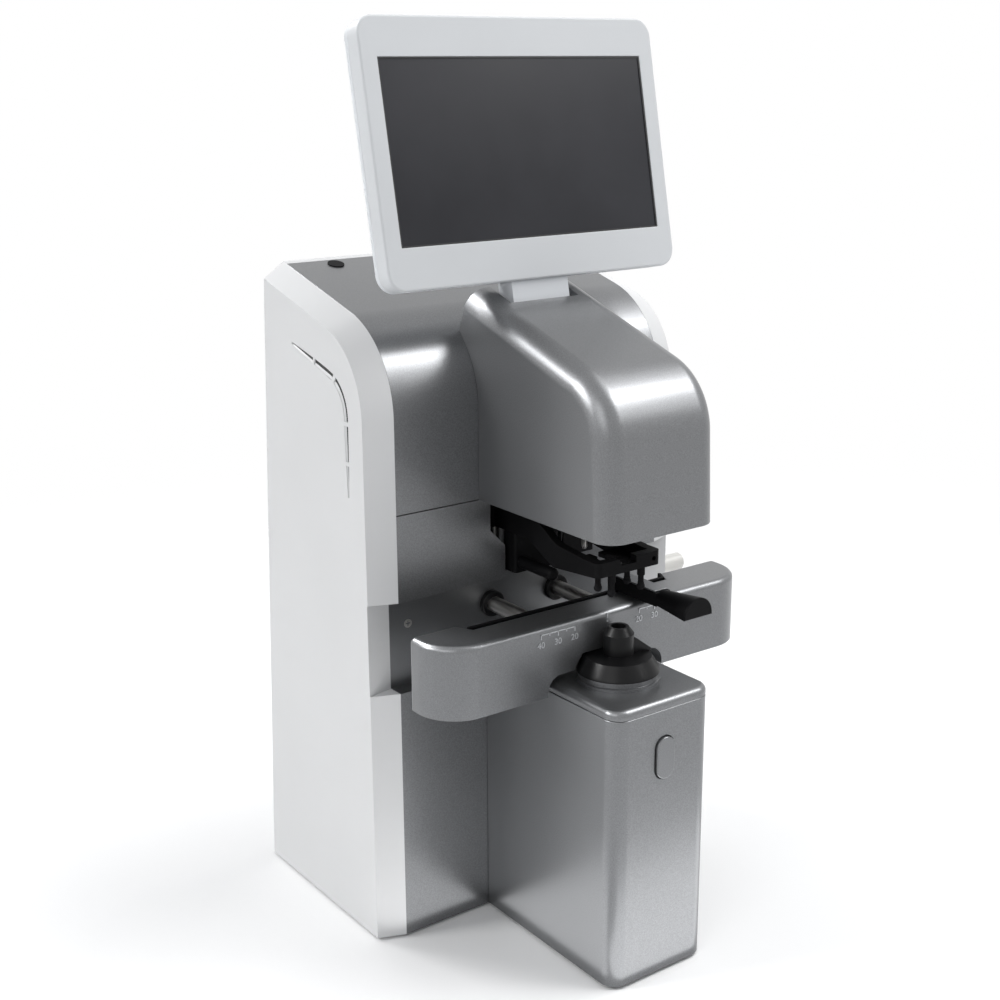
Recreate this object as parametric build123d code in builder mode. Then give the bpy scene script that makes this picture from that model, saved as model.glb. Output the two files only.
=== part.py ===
from build123d import *
import os
from math import cos, degrees, hypot, pi, radians, sin, sqrt, tan

os.makedirs("parts", exist_ok=True)

# Auto lensmeter, millimetres. The measuring axis is X = 0, Y = 0 and runs up through the nosepiece.
# The instrument stands on Z = 0, its front looks along -Y and its right-hand side is +X.

# Tower casing
tower_half = 96.0
core_half = 82.0
tower_front = 67.0
cover_low = 1.5
bevel_depth = 5.5
roll_radius = 48.0
roll_z = 271.5
top_slope = radians(15.3)
rear_foot_y = 189.5
rear_lean = radians(3.6)
rear_rim_y = 165.0
wall = 3.0
sheet = 2.5
seam_z = 225.0
seam_gap = 0.4

# Table channel across the tower front
channel_low = 134.5
channel_high = 181.5
channel_depth = 9.0
notch_edge = 0.2

# Presser opening above the channel
opening_half = 27.0
opening_drop = 26.0
opening_low = seam_z - opening_drop
opening_neck = 18.0
head_window_half = 25.0
head_window_low = seam_z + 3
head_window_top = 303.0

# Vent slits that follow the roll of the casing
vent_line = 19.8
vent_radius = 20.5
vent_bend_drop = 0.8
vent_run_front = 38.5
vent_starts = (0.0, 17.6, 37.2, 61.2, 80.4)
vent_ends = (15.8, 35.2, 59.0, 78.8, 101.6)
vent_wide = 1.9
vent_narrow = 0.6

# Feet and base
foot_radius = 8.0
foot_x = 68.0
foot_front_y = 84.0
foot_rear_y = 170.0
front_foot_radius = 10.0
base_thick = 3.0
fit_gap = 0.2

# Pedestal
pedestal_half = 30.4
pedestal_front = -34.6
pedestal_shell_top = 140.6
pedestal_top = 145.5
pedestal_corner = 8.6
pedestal_edge = 3.0

# Reading button
button_wide = 11.0
button_tall = 21.3
button_z = 116.3
button_proud = 1.4
button_gap = 0.3
button_lip = 1.5
button_stem = 4.0
button_stem_radius = 2.5
button_flange = 1.5
button_edge = 0.7
button_travel = 1.5
switch_gap = 0.2

# Nosepiece on its boss
boss_radius = 19.3
boss_foot_radius = 20.5
boss_foot_height = 1.4
boss_height = 4.4
boss_edge = 0.6
boss_step = 0.4
skirt_radius = 20.2
skirt_rim = 0.9
skirt_top_radius = 16.2
skirt_height = 7.4
skirt_crown = 0.9
tube_radius = 7.5
tube_height = 18.4
tip_radius = 4.9
tip_height = 21.9
nose_bore = 3.7
nose_hollow = 9.5
nose_floor = 6.0
gusset_wide = 9.0
gusset_sink = 1.5
gusset_toe_rise = 0.8
gusset_drop = 3.2
gusset_toe = 17.0

# Sensor inside the pedestal
sensor_radius = 9.2
sensor_low = 64.0
shelf_thick = 4.0
leg_size = 8.0
shelf_half = 24.0
shelf_deep = 70.0
shelf_gap = 2.0
sensor_flange = 5.0
sensor_wall = 2.0
sensor_floor = 6.0
sensor_board_size = 30.0
sensor_chip = 8.0
switch_wide = 16.0
switch_thick = 3.0
switch_foot = 8.0

# Head that overhangs the nosepiece
head_half = 34.0
head_front = -31.5
head_lean = radians(2.7)
head_line_y = 5.5
head_line_z = 304.7
head_slope = radians(18.5)
head_roll = 36.0
head_edge = 11.0
head_rear_y = 82.5
head_rear_lean = radians(20.0)
saddle_sink = 12.0
neck_slot_half = 20.5
neck_slot_front = 58.0
head_base_thick = 2.5

# Lamp above the nosepiece
lamp_radius = 13.0
lamp_bore = 11.0
lamp_low = seam_z + 8
lamp_high = 285.0
lens_thick = 5.0
lamp_window = 10.0

# Chassis
chassis_y = 97.0
chassis_thick = 3.0
chassis_half = 60.0
chassis_top = 298.0
chassis_foot = 40.0
gusset_high = 90.0
lightening_radius = 11.0
lightening_x = 36.0
lightening_z = 100.0
lightening_low_z = 60.0
rack_window_wide = 24.0
rack_window_tall = 20.0
spacer_radius = 3.0
spacer_inset = 4.0
arm_inner = 17.0
arm_thick = 3.0
arm_low = seam_z + 21
arm_high = arm_low + 30
arm_front = -16.0
arm_web_rear = 15.0

# Frame table
table_half = 96.0
table_front = 8.5
table_rear = 36.8
table_low = 141.0
table_high = 177.0
table_corner = 21.0
recess_rear = 28.5
recess_left = -72.0
recess_right = 55.0
recess_slant = 4.0
arch_half = 36.0
arch_high = 151.0
arch_corner = 8.0
table_edge = 3.0
table_rear_corner = 3.0
pocket_inner = 52.0
pocket_outer = 78.0
pocket_wide = 20.0
pocket_deep = 26.0
scoop_gap = 1.3
pocket_wall = 4.0
table_travel = 28.0

# Table rods, bushes and bearing block
rod_x = 20.7
rod_z = 166.3
rod_radius = 4.0
rod_seat = 14.0
rod_rear = 112.0
running_gap = 0.05
bush_radius = 6.0
bush_flange_radius = 6.9
bush_flange = 2.8
block_low = 151.5
block_high = 177.0
block_left = -32.0
block_right = 56.0

# Rack, pinion and side knob
pinion_module = 1.0
pinion_teeth = 12
pinion_y = 86.0
pinion_z = 158.6
rack_x = 64.0
rack_wide = 8.0
rack_base = 6.0
rack_rear = 98.0
tooth_thick = 1.25
tooth_tip = 0.65
tooth_up = 0.85
tooth_down = 1.15
knob_radius = 5.0
knob_gap = 0.4
knob_length = 21.0
knob_bore_deep = 8.0
knob_skirt = 0.8
knob_skirt_long = 3.0
knob_edge = 1.2
shaft_bush_radius = 5.0
bush_lip = 1.0
bush_lip_wide = 0.8
shaft_radius = 2.5
shaft_engage = 7.0
shaft_bore_deep = 9.0
wheel_fit = 0.01

# Rail strip and nose-pad slider
rail_left = -67.5
rail_thick = 1.8
rail_low = 171.0
rail_proud = 0.4
rail_hook_share = 0.75
slider_x = 25.5
slider_half = 4.5
slide_gap = 0.3
slider_top = 184.5
slider_hook = 2.7
slider_hook_low = 172.0
handle_front = -28.0
handle_root = -3.0
handle_front_half = 9.0
handle_root_half = 4.5
handle_front_height = 9.9
handle_root_height = 7.0
cap_thick = 0.8

# Lens presser
presser_front = -7.4
presser_half = 19.5
cheek_thick = 4.5
cross_low = 201.3
cross_high = 208.3
dip_depth = 3.3
dip_left = -5.0
dip_right = 4.0
tray_rear = 19.0
tray_thick = 2.4
marker_relief = 0.8
marker_drop = 9.0
marker_slot_half = 2.6
presser_root_half = 15.5
presser_root_y = 79.5
root_low = 205.5
root_high = 221.0
pin_x = 9.1
pin_y = 5.0
pin_radius = 1.4
pin_tip_z = 189.7
pin_collar = 1.9
tip_bulb = 1.95
end_hole_x = 15.0
end_hole_radius = 1.2
block_front = 61.9
block_back = 72.5
presser_block_low = 184.5
presser_block_left = -15.5
presser_block_right = 12.0
stop_x = -11.0
stop_z = 190.0
stop_radius = 3.2
stop_front = 35.5
guide_x = 10.0
guide_y = 88.0
guide_radius = 3.0
carriage_high = 222.0
carriage_low = 205.0
bracket_low = 236.0
bracket_high = 242.0

# Marker pen
marker_y = 26.5
marker_tip_z = 204.0
marker_pin_radius = 1.6
sleeve_radius = 4.2
sleeve_low = 221.5
sleeve_high = 241.5
marker_rod_radius = 3.0
marker_rod_z = 236.0
marker_rod_run = 50.5
guide_block_front = 32.0
guide_block_rear = 46.0
guide_block_low = 236.0
guide_block_high = 262.0

# Screen
screen_half = 86.0
screen_tall = 123.4
screen_tilt = radians(11.44)
screen_y = 60.3
screen_z = 331.8
screen_corner = 9.0
bezel_deep = 9.0
screen_deep = 13.5
display_wide = 154.0
display_tall = 85.0
display_low = 19.8
display_step = 0.8
lcd_wide = 161.0
lcd_tall = 94.0
lcd_thick = 6.0
shell_wall = 2.2
neck_half = 17.0
neck_front = 2.2
neck_thick = 11.0
pivot_down = 18.5
barrel_radius = 6.5
barrel_half = 20.2
hinge_pin_radius = 3.0
ear_thick = 3.0
ear_radius = 7.0
ear_gap = 0.4
ear_flange = 15.0
ear_foot_low = 255.0
ear_foot_high = 275.0

# Rear panel fittings
jack_x = 52.0
jack_z = 34.0
jack_half = 7.0
jack_bore = 3.1
rocker_x = 24.0
rocker_wide = 20.0
rocker_tall = 14.0
rocker_wall = 1.8
rocker_rim = 1.2
rocker_depth = 12.0
rocker_pivot_in = 1.0
rocker_below = 2.5
rocker_above = 1.6
rocker_dish = 1.6
rocker_tilt = radians(8.0)
trunnion_radius = 1.2
trunnion_long = 1.2
trunnion_gap = 0.05
louvre_count = 9
louvre_wide = 70.0
louvre_tall = 3.0
louvre_pitch = 8.0
louvre_z = 205.0
board_low = 40.0
board_high = 140.0
board_half = 50.0
board_gap = 6.0
board_thick = 1.6
board_corner = 3.0
chip_high = 3.0
chip_size = 24.0
chip_x = -18.0
chip_z = 100.0
driver_wide = 14.0
driver_tall = 20.0
driver_x = 20.0
driver_z = 110.0
plug_row_wide = 60.0
plug_row_tall = 10.0
plug_row_z = 60.0

# Power module on the chassis foot
module_x = -30.0
module_y = 155.0
module_wide = 70.0
module_deep = 34.0
module_tall = 26.0
module_corner = 3.0
module_slots = 7
module_slot_pitch = 8.0
module_slot_long = 22.0
module_slot_wide = 3.0

# Top plug
plug_x = -57.0
plug_y = 158.8
plug_radius = 4.3
plug_stem = 3.0
plug_head = 0.6
plug_deep = 1.5


def save(builder, label):
    builder.part.label = label
    export_step(builder.part, "parts/" + label + ".step")


# Casing outline in the YZ plane, drawn in by an inset
def top_end(inset):
    reach = roll_radius - inset
    centre_y = tower_front + roll_radius
    return centre_y - reach * sin(top_slope), roll_z + reach * cos(top_slope)


def rear_y(z, inset):
    return rear_foot_y - inset / cos(rear_lean) - z * tan(rear_lean)


def top_z(y, inset):
    end_y, end_z = top_end(inset)
    return end_z + (y - end_y) * tan(top_slope)


def top_corner(inset):
    end_y, end_z = top_end(inset)
    base_z = end_z - end_y * tan(top_slope)
    corner_y = (rear_y(0, inset) - base_z * tan(rear_lean)) / (1 + tan(top_slope) * tan(rear_lean))
    return corner_y, top_z(corner_y, inset)


def casing_lines(inset, low):
    start_angle = 90 + degrees(top_slope)
    centre = (tower_front + roll_radius, roll_z)
    Line((tower_front + inset, low), (tower_front + inset, roll_z))
    CenterArc(centre, roll_radius - inset, start_angle, 180 - start_angle)
    Line(top_end(inset), top_corner(inset))
    Line(top_corner(inset), (rear_y(low, inset), low))
    Line((rear_y(low, inset), low), (tower_front + inset, low))


def roll_y(z, inset):
    reach = roll_radius - inset
    return tower_front + roll_radius - sqrt(reach**2 - (z - roll_z) ** 2)


# Planes of the leaning rear face, the sloped top and the tilted screen
rear_plane = Plane(
    origin=(0, rear_foot_y, 0), x_dir=(-1, 0, 0), z_dir=(0, cos(rear_lean), sin(rear_lean))
)
top_plane = Plane(
    origin=(0, plug_y, top_z(plug_y, 0)), x_dir=(1, 0, 0), z_dir=(0, -sin(top_slope), cos(top_slope))
)
screen_plane = Plane(
    origin=(0, screen_y, screen_z), x_dir=(1, 0, 0), z_dir=(0, -cos(screen_tilt), sin(screen_tilt))
)
neck_mid = neck_front + neck_thick / 2
pivot_y = screen_y - pivot_down * sin(screen_tilt) + neck_mid * cos(screen_tilt)
pivot_z = screen_z - pivot_down * cos(screen_tilt) - neck_mid * sin(screen_tilt)
base_top = cover_low + base_thick
boss_top = pedestal_top + boss_height
pinion_radius = pinion_module * pinion_teeth / 2


# Side panels: bevelled shells with a notch for the table and five vent slits
bend_y = tower_front + vent_line + vent_radius
bend_z = roll_z - vent_bend_drop
bend_turn = pi / 2 - top_slope


def vent_point(run, side):
    reach = vent_radius + side
    if run < vent_run_front:
        return bend_y - reach, bend_z - vent_run_front + run
    turned = (run - vent_run_front) / vent_radius
    if turned < bend_turn:
        return bend_y - reach * cos(turned), bend_z + reach * sin(turned)
    rest = run - vent_run_front - vent_radius * bend_turn
    end_y = bend_y - reach * sin(top_slope) + rest * cos(top_slope)
    return end_y, bend_z + reach * cos(top_slope) + rest * sin(top_slope)


def vent_half(run):
    share = 2 * run / vent_ends[-1] - 1
    return vent_narrow + (vent_wide - vent_narrow) * (1 - share**2)


def vent_slit(first, last):
    middle = (first + last) / 2
    outer = [vent_point(run, vent_half(run)) for run in (first, middle, last)]
    inner = [vent_point(run, -vent_half(run)) for run in (last, middle, first)]
    Spline(*outer)
    Line(outer[2], inner[0])
    Spline(*inner)
    Line(inner[2], outer[0])


def panel_slope(x):
    return tower_front + (x - core_half) * bevel_depth / (tower_half - core_half)


boss_rear = tower_front + channel_depth + sheet + 1.5
with BuildPart() as right_side_panel:
    with BuildSketch(Plane.YZ.offset(core_half)):
        with BuildLine():
            casing_lines(0, cover_low)
        make_face()
    with BuildSketch(Plane.YZ.offset(tower_half)):
        with BuildLine():
            casing_lines(bevel_depth, cover_low)
        make_face()
    loft(ruled=True)
    with BuildSketch(Plane.YZ.offset(core_half)):
        with BuildLine():
            casing_lines(wall, cover_low + wall)
        make_face()
    with BuildSketch(Plane.YZ.offset(tower_half - wall)):
        with BuildLine():
            casing_lines(bevel_depth + wall, cover_low + wall)
        make_face()
    loft(ruled=True, mode=Mode.SUBTRACT)
    with BuildSketch(Plane.XY.offset(channel_low - wall)):
        with BuildLine():
            Polyline(
                (core_half, panel_slope(core_half) + 1),
                (tower_half - wall, panel_slope(tower_half - wall) + 1),
                (tower_half - wall, boss_rear),
                (core_half, boss_rear),
                close=True,
            )
        make_face()
    extrude(amount=channel_high - channel_low + 2 * wall)
    with BuildSketch(Plane.XY.offset(channel_low)):
        with BuildLine():
            Polyline(
                (core_half, tower_front - 1),
                (tower_half + 1, tower_front - 1),
                (tower_half + 1, panel_slope(tower_half) + notch_edge),
                (core_half, tower_front + channel_depth),
                close=True,
            )
        make_face()
    extrude(amount=channel_high - channel_low, mode=Mode.SUBTRACT)
    with BuildSketch(Plane.YZ.offset(tower_half - wall - 1)):
        for first, last in zip(vent_starts, vent_ends):
            with BuildLine():
                vent_slit(first, last)
            make_face()
    extrude(amount=wall + 2, mode=Mode.SUBTRACT)

with BuildPart() as left_side_panel:
    add(right_side_panel.part.mirror(Plane.YZ))
save(left_side_panel, "left_side_panel")

# The right-hand panel also carries the bush of the knob shaft
with BuildPart() as right_panel:
    add(right_side_panel.part)
    with BuildSketch(Plane.YZ.offset(tower_half - wall - 1)):
        with Locations((pinion_y, pinion_z)):
            Circle(shaft_bush_radius)
    extrude(amount=wall + 2, mode=Mode.SUBTRACT)
save(right_panel, "right_side_panel")

# Front cover: one folded sheet with the channel and the presser opening
recess_y = tower_front + channel_depth
with BuildPart() as front_cover:
    with BuildSketch(Plane.YZ.offset(-core_half)):
        with BuildLine():
            Polyline(
                (tower_front, cover_low),
                (tower_front, channel_low),
                (recess_y, channel_low),
                (recess_y, channel_high),
                (tower_front, channel_high),
                (tower_front, seam_z),
                (tower_front + sheet, seam_z),
                (tower_front + sheet, channel_high + sheet),
                (recess_y + sheet, channel_high + sheet),
                (recess_y + sheet, channel_low - sheet),
                (tower_front + sheet, channel_low - sheet),
                (tower_front + sheet, cover_low),
                close=True,
            )
        make_face()
    extrude(amount=2 * core_half)
    with BuildSketch(Plane.XZ.offset(-tower_front - channel_depth - 2 * sheet)):
        with BuildLine():
            Polyline(
                (-opening_neck, channel_high),
                (opening_neck, channel_high),
                (opening_neck, opening_low),
                (opening_half, opening_low + opening_half - opening_neck),
                (opening_half, seam_z + 1),
                (-opening_half, seam_z + 1),
                (-opening_half, opening_low + opening_half - opening_neck),
                (-opening_neck, opening_low),
                close=True,
            )
        make_face()
        with Locations((-rod_x, rod_z), (rod_x, rod_z)):
            Circle(bush_radius + running_gap)
        with Locations((rack_x, pinion_z - pinion_radius - rack_base / 2)):
            RectangleRounded(rack_wide + 3, rack_base + 5, 2)
        with Locations((0, cover_low - 1)):
            Rectangle(
                2 * (pedestal_half - sheet), base_thick + 1 + fit_gap, align=(Align.CENTER, Align.MIN)
            )
    extrude(amount=channel_depth + 3 * sheet, mode=Mode.SUBTRACT)
save(front_cover, "front_cover")

# Upper cover: the silver wrap that rolls back over the top, with the window into the head
with BuildPart() as upper_cover:
    with BuildSketch(Plane.YZ.offset(-core_half)):
        with BuildLine():
            casing_lines(0, seam_z + seam_gap)
        make_face()
        with BuildLine():
            casing_lines(sheet, cover_low)
        make_face(mode=Mode.SUBTRACT)
        with Locations((rear_rim_y, 0)):
            Rectangle(200, 800, align=(Align.MIN, Align.CENTER), mode=Mode.SUBTRACT)
    extrude(amount=2 * core_half)
    with BuildSketch(Plane.XZ.offset(-tower_front - roll_radius)):
        with Locations((0, head_window_low)):
            Rectangle(
                2 * head_window_half,
                head_window_top - head_window_low,
                align=(Align.CENTER, Align.MIN),
            )
    extrude(amount=roll_radius + 1, mode=Mode.SUBTRACT)
    with BuildSketch(top_plane.offset(1)):
        with Locations((plug_x, 0)):
            Circle(plug_stem + running_gap)
    extrude(amount=-sheet - 3, mode=Mode.SUBTRACT)
save(upper_cover, "upper_cover")

# Rear cover: leaning white shell with a rim over the top edge, louvres and two fittings
rocker_hole_wide = rocker_wide - 3
rocker_hole_tall = rocker_tall - 3
with BuildPart() as rear_cover:
    with BuildSketch(Plane.YZ.offset(-core_half)):
        with BuildLine():
            Polyline(
                (rear_rim_y, top_z(rear_rim_y, 0)),
                top_corner(0),
                (rear_y(cover_low, 0), cover_low),
                (rear_y(cover_low, wall), cover_low),
                top_corner(wall),
                (rear_rim_y, top_z(rear_rim_y, wall)),
                close=True,
            )
        make_face()
    extrude(amount=2 * core_half)
    with BuildSketch(rear_plane.offset(1)):
        with Locations((0, louvre_z)):
            with GridLocations(0, louvre_pitch, 1, louvre_count):
                SlotOverall(louvre_wide, louvre_tall)
        with Locations((jack_x, jack_z)):
            Circle(jack_half - 1)
        with Locations((rocker_x, jack_z)):
            Rectangle(rocker_hole_wide, rocker_hole_tall)
    extrude(amount=-wall - 2, mode=Mode.SUBTRACT)
save(rear_cover, "rear_cover")

# Base plate under the tower and the pedestal, with its feet
with BuildPart() as base_plate:
    with BuildSketch(Plane.XY.offset(cover_low)):
        with BuildLine():
            Polyline(
                (-core_half, tower_front + sheet + fit_gap),
                (core_half, tower_front + sheet + fit_gap),
                (core_half, rear_y(cover_low, wall) - 0.4),
                (-core_half, rear_y(cover_low, wall) - 0.4),
                close=True,
            )
        make_face()
        with Locations((0, pedestal_front + sheet + fit_gap)):
            Rectangle(
                2 * (pedestal_half - sheet - fit_gap),
                tower_front + 2 * sheet - pedestal_front,
                align=(Align.CENTER, Align.MIN),
            )
    extrude(amount=base_thick)
    front_edges = base_plate.edges().filter_by(Axis.Z).group_by(Axis.Y)[0]
    fillet(front_edges, pedestal_corner - sheet)
save(base_plate, "base_plate")

with BuildPart() as front_foot:
    with BuildSketch():
        Circle(front_foot_radius)
    extrude(amount=cover_low)
    chamfer(front_foot.faces().sort_by(Axis.Z)[0].edges(), 0.5)
save(front_foot, "front_foot")

with BuildPart() as rubber_feet:
    for y in (foot_front_y, foot_rear_y):
        with BuildSketch():
            with Locations((-foot_x, y), (foot_x, y)):
                Circle(foot_radius)
        extrude(amount=cover_low)
    chamfer(rubber_feet.faces().group_by(Axis.Z)[0].edges(), 0.5)
save(rubber_feet, "rubber_feet")

# Rubber plug in the sloped top
with BuildPart() as top_plug:
    with BuildSketch(top_plane):
        with Locations((plug_x, 0)):
            Circle(plug_radius)
    extrude(amount=plug_head)
    with BuildSketch(top_plane):
        with Locations((plug_x, 0)):
            Circle(plug_stem)
    extrude(amount=-sheet - plug_deep)
save(top_plug, "top_plug")

# Power jack and rocker housing in the rear cover
with BuildPart() as power_jack:
    with BuildSketch(rear_plane):
        with Locations((jack_x, jack_z)):
            Circle(jack_half)
    extrude(amount=1.4)
    with BuildSketch(rear_plane):
        with Locations((jack_x, jack_z)):
            Circle(jack_half - 1 - fit_gap)
    extrude(amount=-14)
    with BuildSketch(rear_plane.offset(1.4)):
        with Locations((jack_x, jack_z)):
            Circle(jack_bore)
            Circle(1.0, mode=Mode.SUBTRACT)
    extrude(amount=-11, mode=Mode.SUBTRACT)
save(power_jack, "power_jack")

# Rocker switch: the rocker turns on two trunnions in its housing and rests on one side
rocker_span = rocker_hole_wide - 2 * rocker_wall - 2 * button_gap
rocker_reach = (rocker_hole_tall - 2 * rocker_wall) / 2 - button_gap
lean_vector = Vector(0, -sin(rear_lean), cos(rear_lean))
out_vector = Vector(0, cos(rear_lean), sin(rear_lean))
rocker_spot = Vector(-rocker_x, rear_foot_y, 0) + lean_vector * jack_z
rocker_pivot = rocker_spot - out_vector * rocker_pivot_in
with BuildPart() as rocker_housing:
    with BuildSketch(rear_plane):
        with Locations((rocker_x, jack_z)):
            Rectangle(rocker_wide, rocker_tall)
    extrude(amount=rocker_rim)
    with BuildSketch(rear_plane):
        with Locations((rocker_x, jack_z)):
            Rectangle(rocker_hole_wide - 2 * fit_gap, rocker_hole_tall - 2 * fit_gap)
    extrude(amount=-rocker_depth)
    with BuildSketch(rear_plane.offset(rocker_rim)):
        with Locations((rocker_x, jack_z)):
            Rectangle(rocker_hole_wide - 2 * rocker_wall, rocker_hole_tall - 2 * rocker_wall)
    extrude(amount=-rocker_depth, mode=Mode.SUBTRACT)
    socket_half = rocker_span / 2 + trunnion_long + trunnion_gap
    with BuildSketch(Plane.YZ.offset(-rocker_x - socket_half)):
        with Locations((rocker_pivot.Y, rocker_pivot.Z)):
            Circle(trunnion_radius + trunnion_gap)
    extrude(amount=2 * socket_half, mode=Mode.SUBTRACT)
save(rocker_housing, "rocker_housing")

rocker_plane = Plane(
    origin=tuple(rocker_pivot),
    x_dir=(-1, 0, 0),
    z_dir=(0, cos(rear_lean + rocker_tilt), sin(rear_lean + rocker_tilt)),
)
with BuildPart() as power_rocker:
    with BuildSketch(rocker_plane.offset(-rocker_below)):
        Rectangle(rocker_span, 2 * rocker_reach * cos(rocker_tilt) - 2 * fit_gap)
    extrude(amount=rocker_below + rocker_above)
    with BuildSketch(Plane.YZ.offset(-rocker_x - rocker_wide)):
        with BuildLine():
            rocker_face = rocker_pivot + out_vector * (rocker_above + rocker_dish)
            tip_up = rocker_face + lean_vector * rocker_tall / 2
            tip_down = rocker_face - lean_vector * rocker_tall / 2
            middle = rocker_pivot + out_vector * (rocker_above - fit_gap)
            Polyline(
                (tip_up.Y, tip_up.Z), (middle.Y, middle.Z), (tip_down.Y, tip_down.Z), close=True
            )
        make_face()
    extrude(amount=2 * rocker_wide, mode=Mode.SUBTRACT)
    with BuildSketch(Plane.YZ.offset(-rocker_x - rocker_span / 2 - trunnion_long)):
        with Locations((rocker_pivot.Y, rocker_pivot.Z)):
            Circle(trunnion_radius)
    extrude(amount=rocker_span + 2 * trunnion_long)
save(power_rocker, "power_rocker")

# Chassis: upright plate on a foot with two side gussets
with BuildPart() as chassis:
    with BuildSketch(Plane.XZ.offset(-chassis_y)):
        with Locations((0, base_top)):
            Rectangle(2 * chassis_half, chassis_top - base_top, align=(Align.CENTER, Align.MIN))
        with Locations((-rod_x, rod_z), (rod_x, rod_z)):
            Circle(rod_radius + 1, mode=Mode.SUBTRACT)
        with Locations((rack_x - 2, pinion_z - pinion_radius)):
            Rectangle(rack_window_wide, rack_window_tall, mode=Mode.SUBTRACT)
        with Locations(
            (-lightening_x, lightening_z), (lightening_x, lightening_z), (0, lightening_low_z)
        ):
            Circle(lightening_radius, mode=Mode.SUBTRACT)
    extrude(amount=-chassis_thick)
    with BuildSketch(Plane.XY.offset(base_top)):
        with Locations((0, chassis_y)):
            Rectangle(2 * chassis_half, chassis_foot, align=(Align.CENTER, Align.MIN))
    extrude(amount=chassis_thick)
    for x in (-chassis_half, chassis_half - chassis_thick):
        with BuildSketch(Plane.YZ.offset(x)):
            with BuildLine():
                Polyline(
                    (chassis_y, base_top),
                    (chassis_y + chassis_foot, base_top),
                    (chassis_y + chassis_thick, base_top + gusset_high),
                    (chassis_y, base_top + gusset_high),
                    close=True,
                )
            make_face()
        extrude(amount=chassis_thick)
    with BuildSketch(Plane.XZ.offset(-chassis_y - chassis_thick)):
        with Locations((0, (board_low + board_high) / 2)):
            with GridLocations(
                2 * (board_half - spacer_inset), board_high - board_low - 2 * spacer_inset, 2, 2
            ):
                RegularPolygon(spacer_radius, 6)
    extrude(amount=-board_gap)
save(chassis, "chassis")

# Circuit board on the spacers of the upright plate, and a power module on its foot
board_y = chassis_y + chassis_thick + board_gap

with BuildPart() as control_board:
    with BuildSketch(Plane.XZ.offset(-board_y)):
        with Locations((0, (board_low + board_high) / 2)):
            RectangleRounded(2 * board_half, board_high - board_low, board_corner)
    extrude(amount=-board_thick)
    with BuildSketch(Plane.XZ.offset(-board_y - board_thick)):
        with Locations((chip_x, chip_z)):
            Rectangle(chip_size, chip_size)
        with Locations((driver_x, driver_z)):
            Rectangle(driver_wide, driver_tall)
        with Locations((0, plug_row_z)):
            Rectangle(plug_row_wide, plug_row_tall)
    extrude(amount=-chip_high)
save(control_board, "control_board")

with BuildPart() as power_module:
    with BuildSketch(Plane.XY.offset(base_top)):
        with Locations((module_x, module_y)):
            RectangleRounded(module_wide, module_deep, module_corner)
    extrude(amount=module_tall)
    with BuildSketch(Plane.XY.offset(base_top + module_tall)):
        with Locations((module_x, module_y)):
            with GridLocations(module_slot_pitch, 0, module_slots, 1):
                SlotOverall(module_slot_long, module_slot_wide, rotation=90)
    extrude(amount=-module_slot_wide, mode=Mode.SUBTRACT)
save(power_module, "power_module")

# Pedestal: shell with the button hole, separate cap, boss and nosepiece
with BuildPart() as pedestal_shell:
    with BuildSketch(Plane.XY.offset(cover_low)):
        with Locations((0, pedestal_front)):
            Rectangle(
                2 * pedestal_half, tower_front - pedestal_front, align=(Align.CENTER, Align.MIN)
            )
    extrude(amount=pedestal_shell_top - cover_low)
    fillet(pedestal_shell.edges().filter_by(Axis.Z).group_by(Axis.Y)[0], pedestal_corner)
    with BuildSketch(Plane.XY.offset(cover_low)):
        with Locations((0, pedestal_front + sheet)):
            Rectangle(
                2 * (pedestal_half - sheet),
                tower_front - pedestal_front,
                align=(Align.CENTER, Align.MIN),
            )
        fillet(vertices().group_by(Axis.Y)[0], pedestal_corner - sheet)
    extrude(amount=pedestal_shell_top - cover_low, mode=Mode.SUBTRACT)
    with BuildSketch(Plane.XZ.offset(-pedestal_front + 1)):
        with Locations((0, button_z)):
            SlotOverall(button_tall + 2 * button_gap, button_wide + 2 * button_gap, rotation=90)
    extrude(amount=-sheet - 2, mode=Mode.SUBTRACT)
save(pedestal_shell, "pedestal_shell")

with BuildPart() as pedestal_cap:
    with BuildSketch(Plane.XY.offset(pedestal_shell_top)):
        with Locations((0, pedestal_front)):
            Rectangle(
                2 * pedestal_half, tower_front - pedestal_front, align=(Align.CENTER, Align.MIN)
            )
    extrude(amount=pedestal_top - pedestal_shell_top)
    fillet(pedestal_cap.edges().filter_by(Axis.Z).group_by(Axis.Y)[0], pedestal_corner)
    rim_edges = pedestal_cap.faces().sort_by(Axis.Z)[-1].edges()
    fillet([edge for edge in rim_edges if edge.center().Y < tower_front - 0.1], pedestal_edge)
    low_edges = pedestal_cap.faces().sort_by(Axis.Z)[0].edges()
    chamfer([edge for edge in low_edges if edge.center().Y < tower_front - 0.1], 0.5)
    with BuildSketch(Plane.XY.offset(pedestal_shell_top)):
        with Locations((0, pedestal_front + sheet + fit_gap)):
            Rectangle(
                2 * (pedestal_half - sheet - fit_gap),
                tower_front - pedestal_front - sheet - fit_gap,
                align=(Align.CENTER, Align.MIN),
            )
        fillet(vertices().group_by(Axis.Y)[0], pedestal_corner - sheet - fit_gap)
        with Locations((0, pedestal_front + 2 * sheet + fit_gap)):
            Rectangle(
                2 * (pedestal_half - 2 * sheet - fit_gap),
                tower_front - pedestal_front,
                align=(Align.CENTER, Align.MIN),
                mode=Mode.SUBTRACT,
            )
    extrude(amount=-4)
    with BuildSketch(Plane.XY.offset(pedestal_top)):
        Circle(sensor_radius + 0.5)
    extrude(amount=-pedestal_top + pedestal_shell_top - 1, mode=Mode.SUBTRACT)
save(pedestal_cap, "pedestal_cap")

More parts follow.
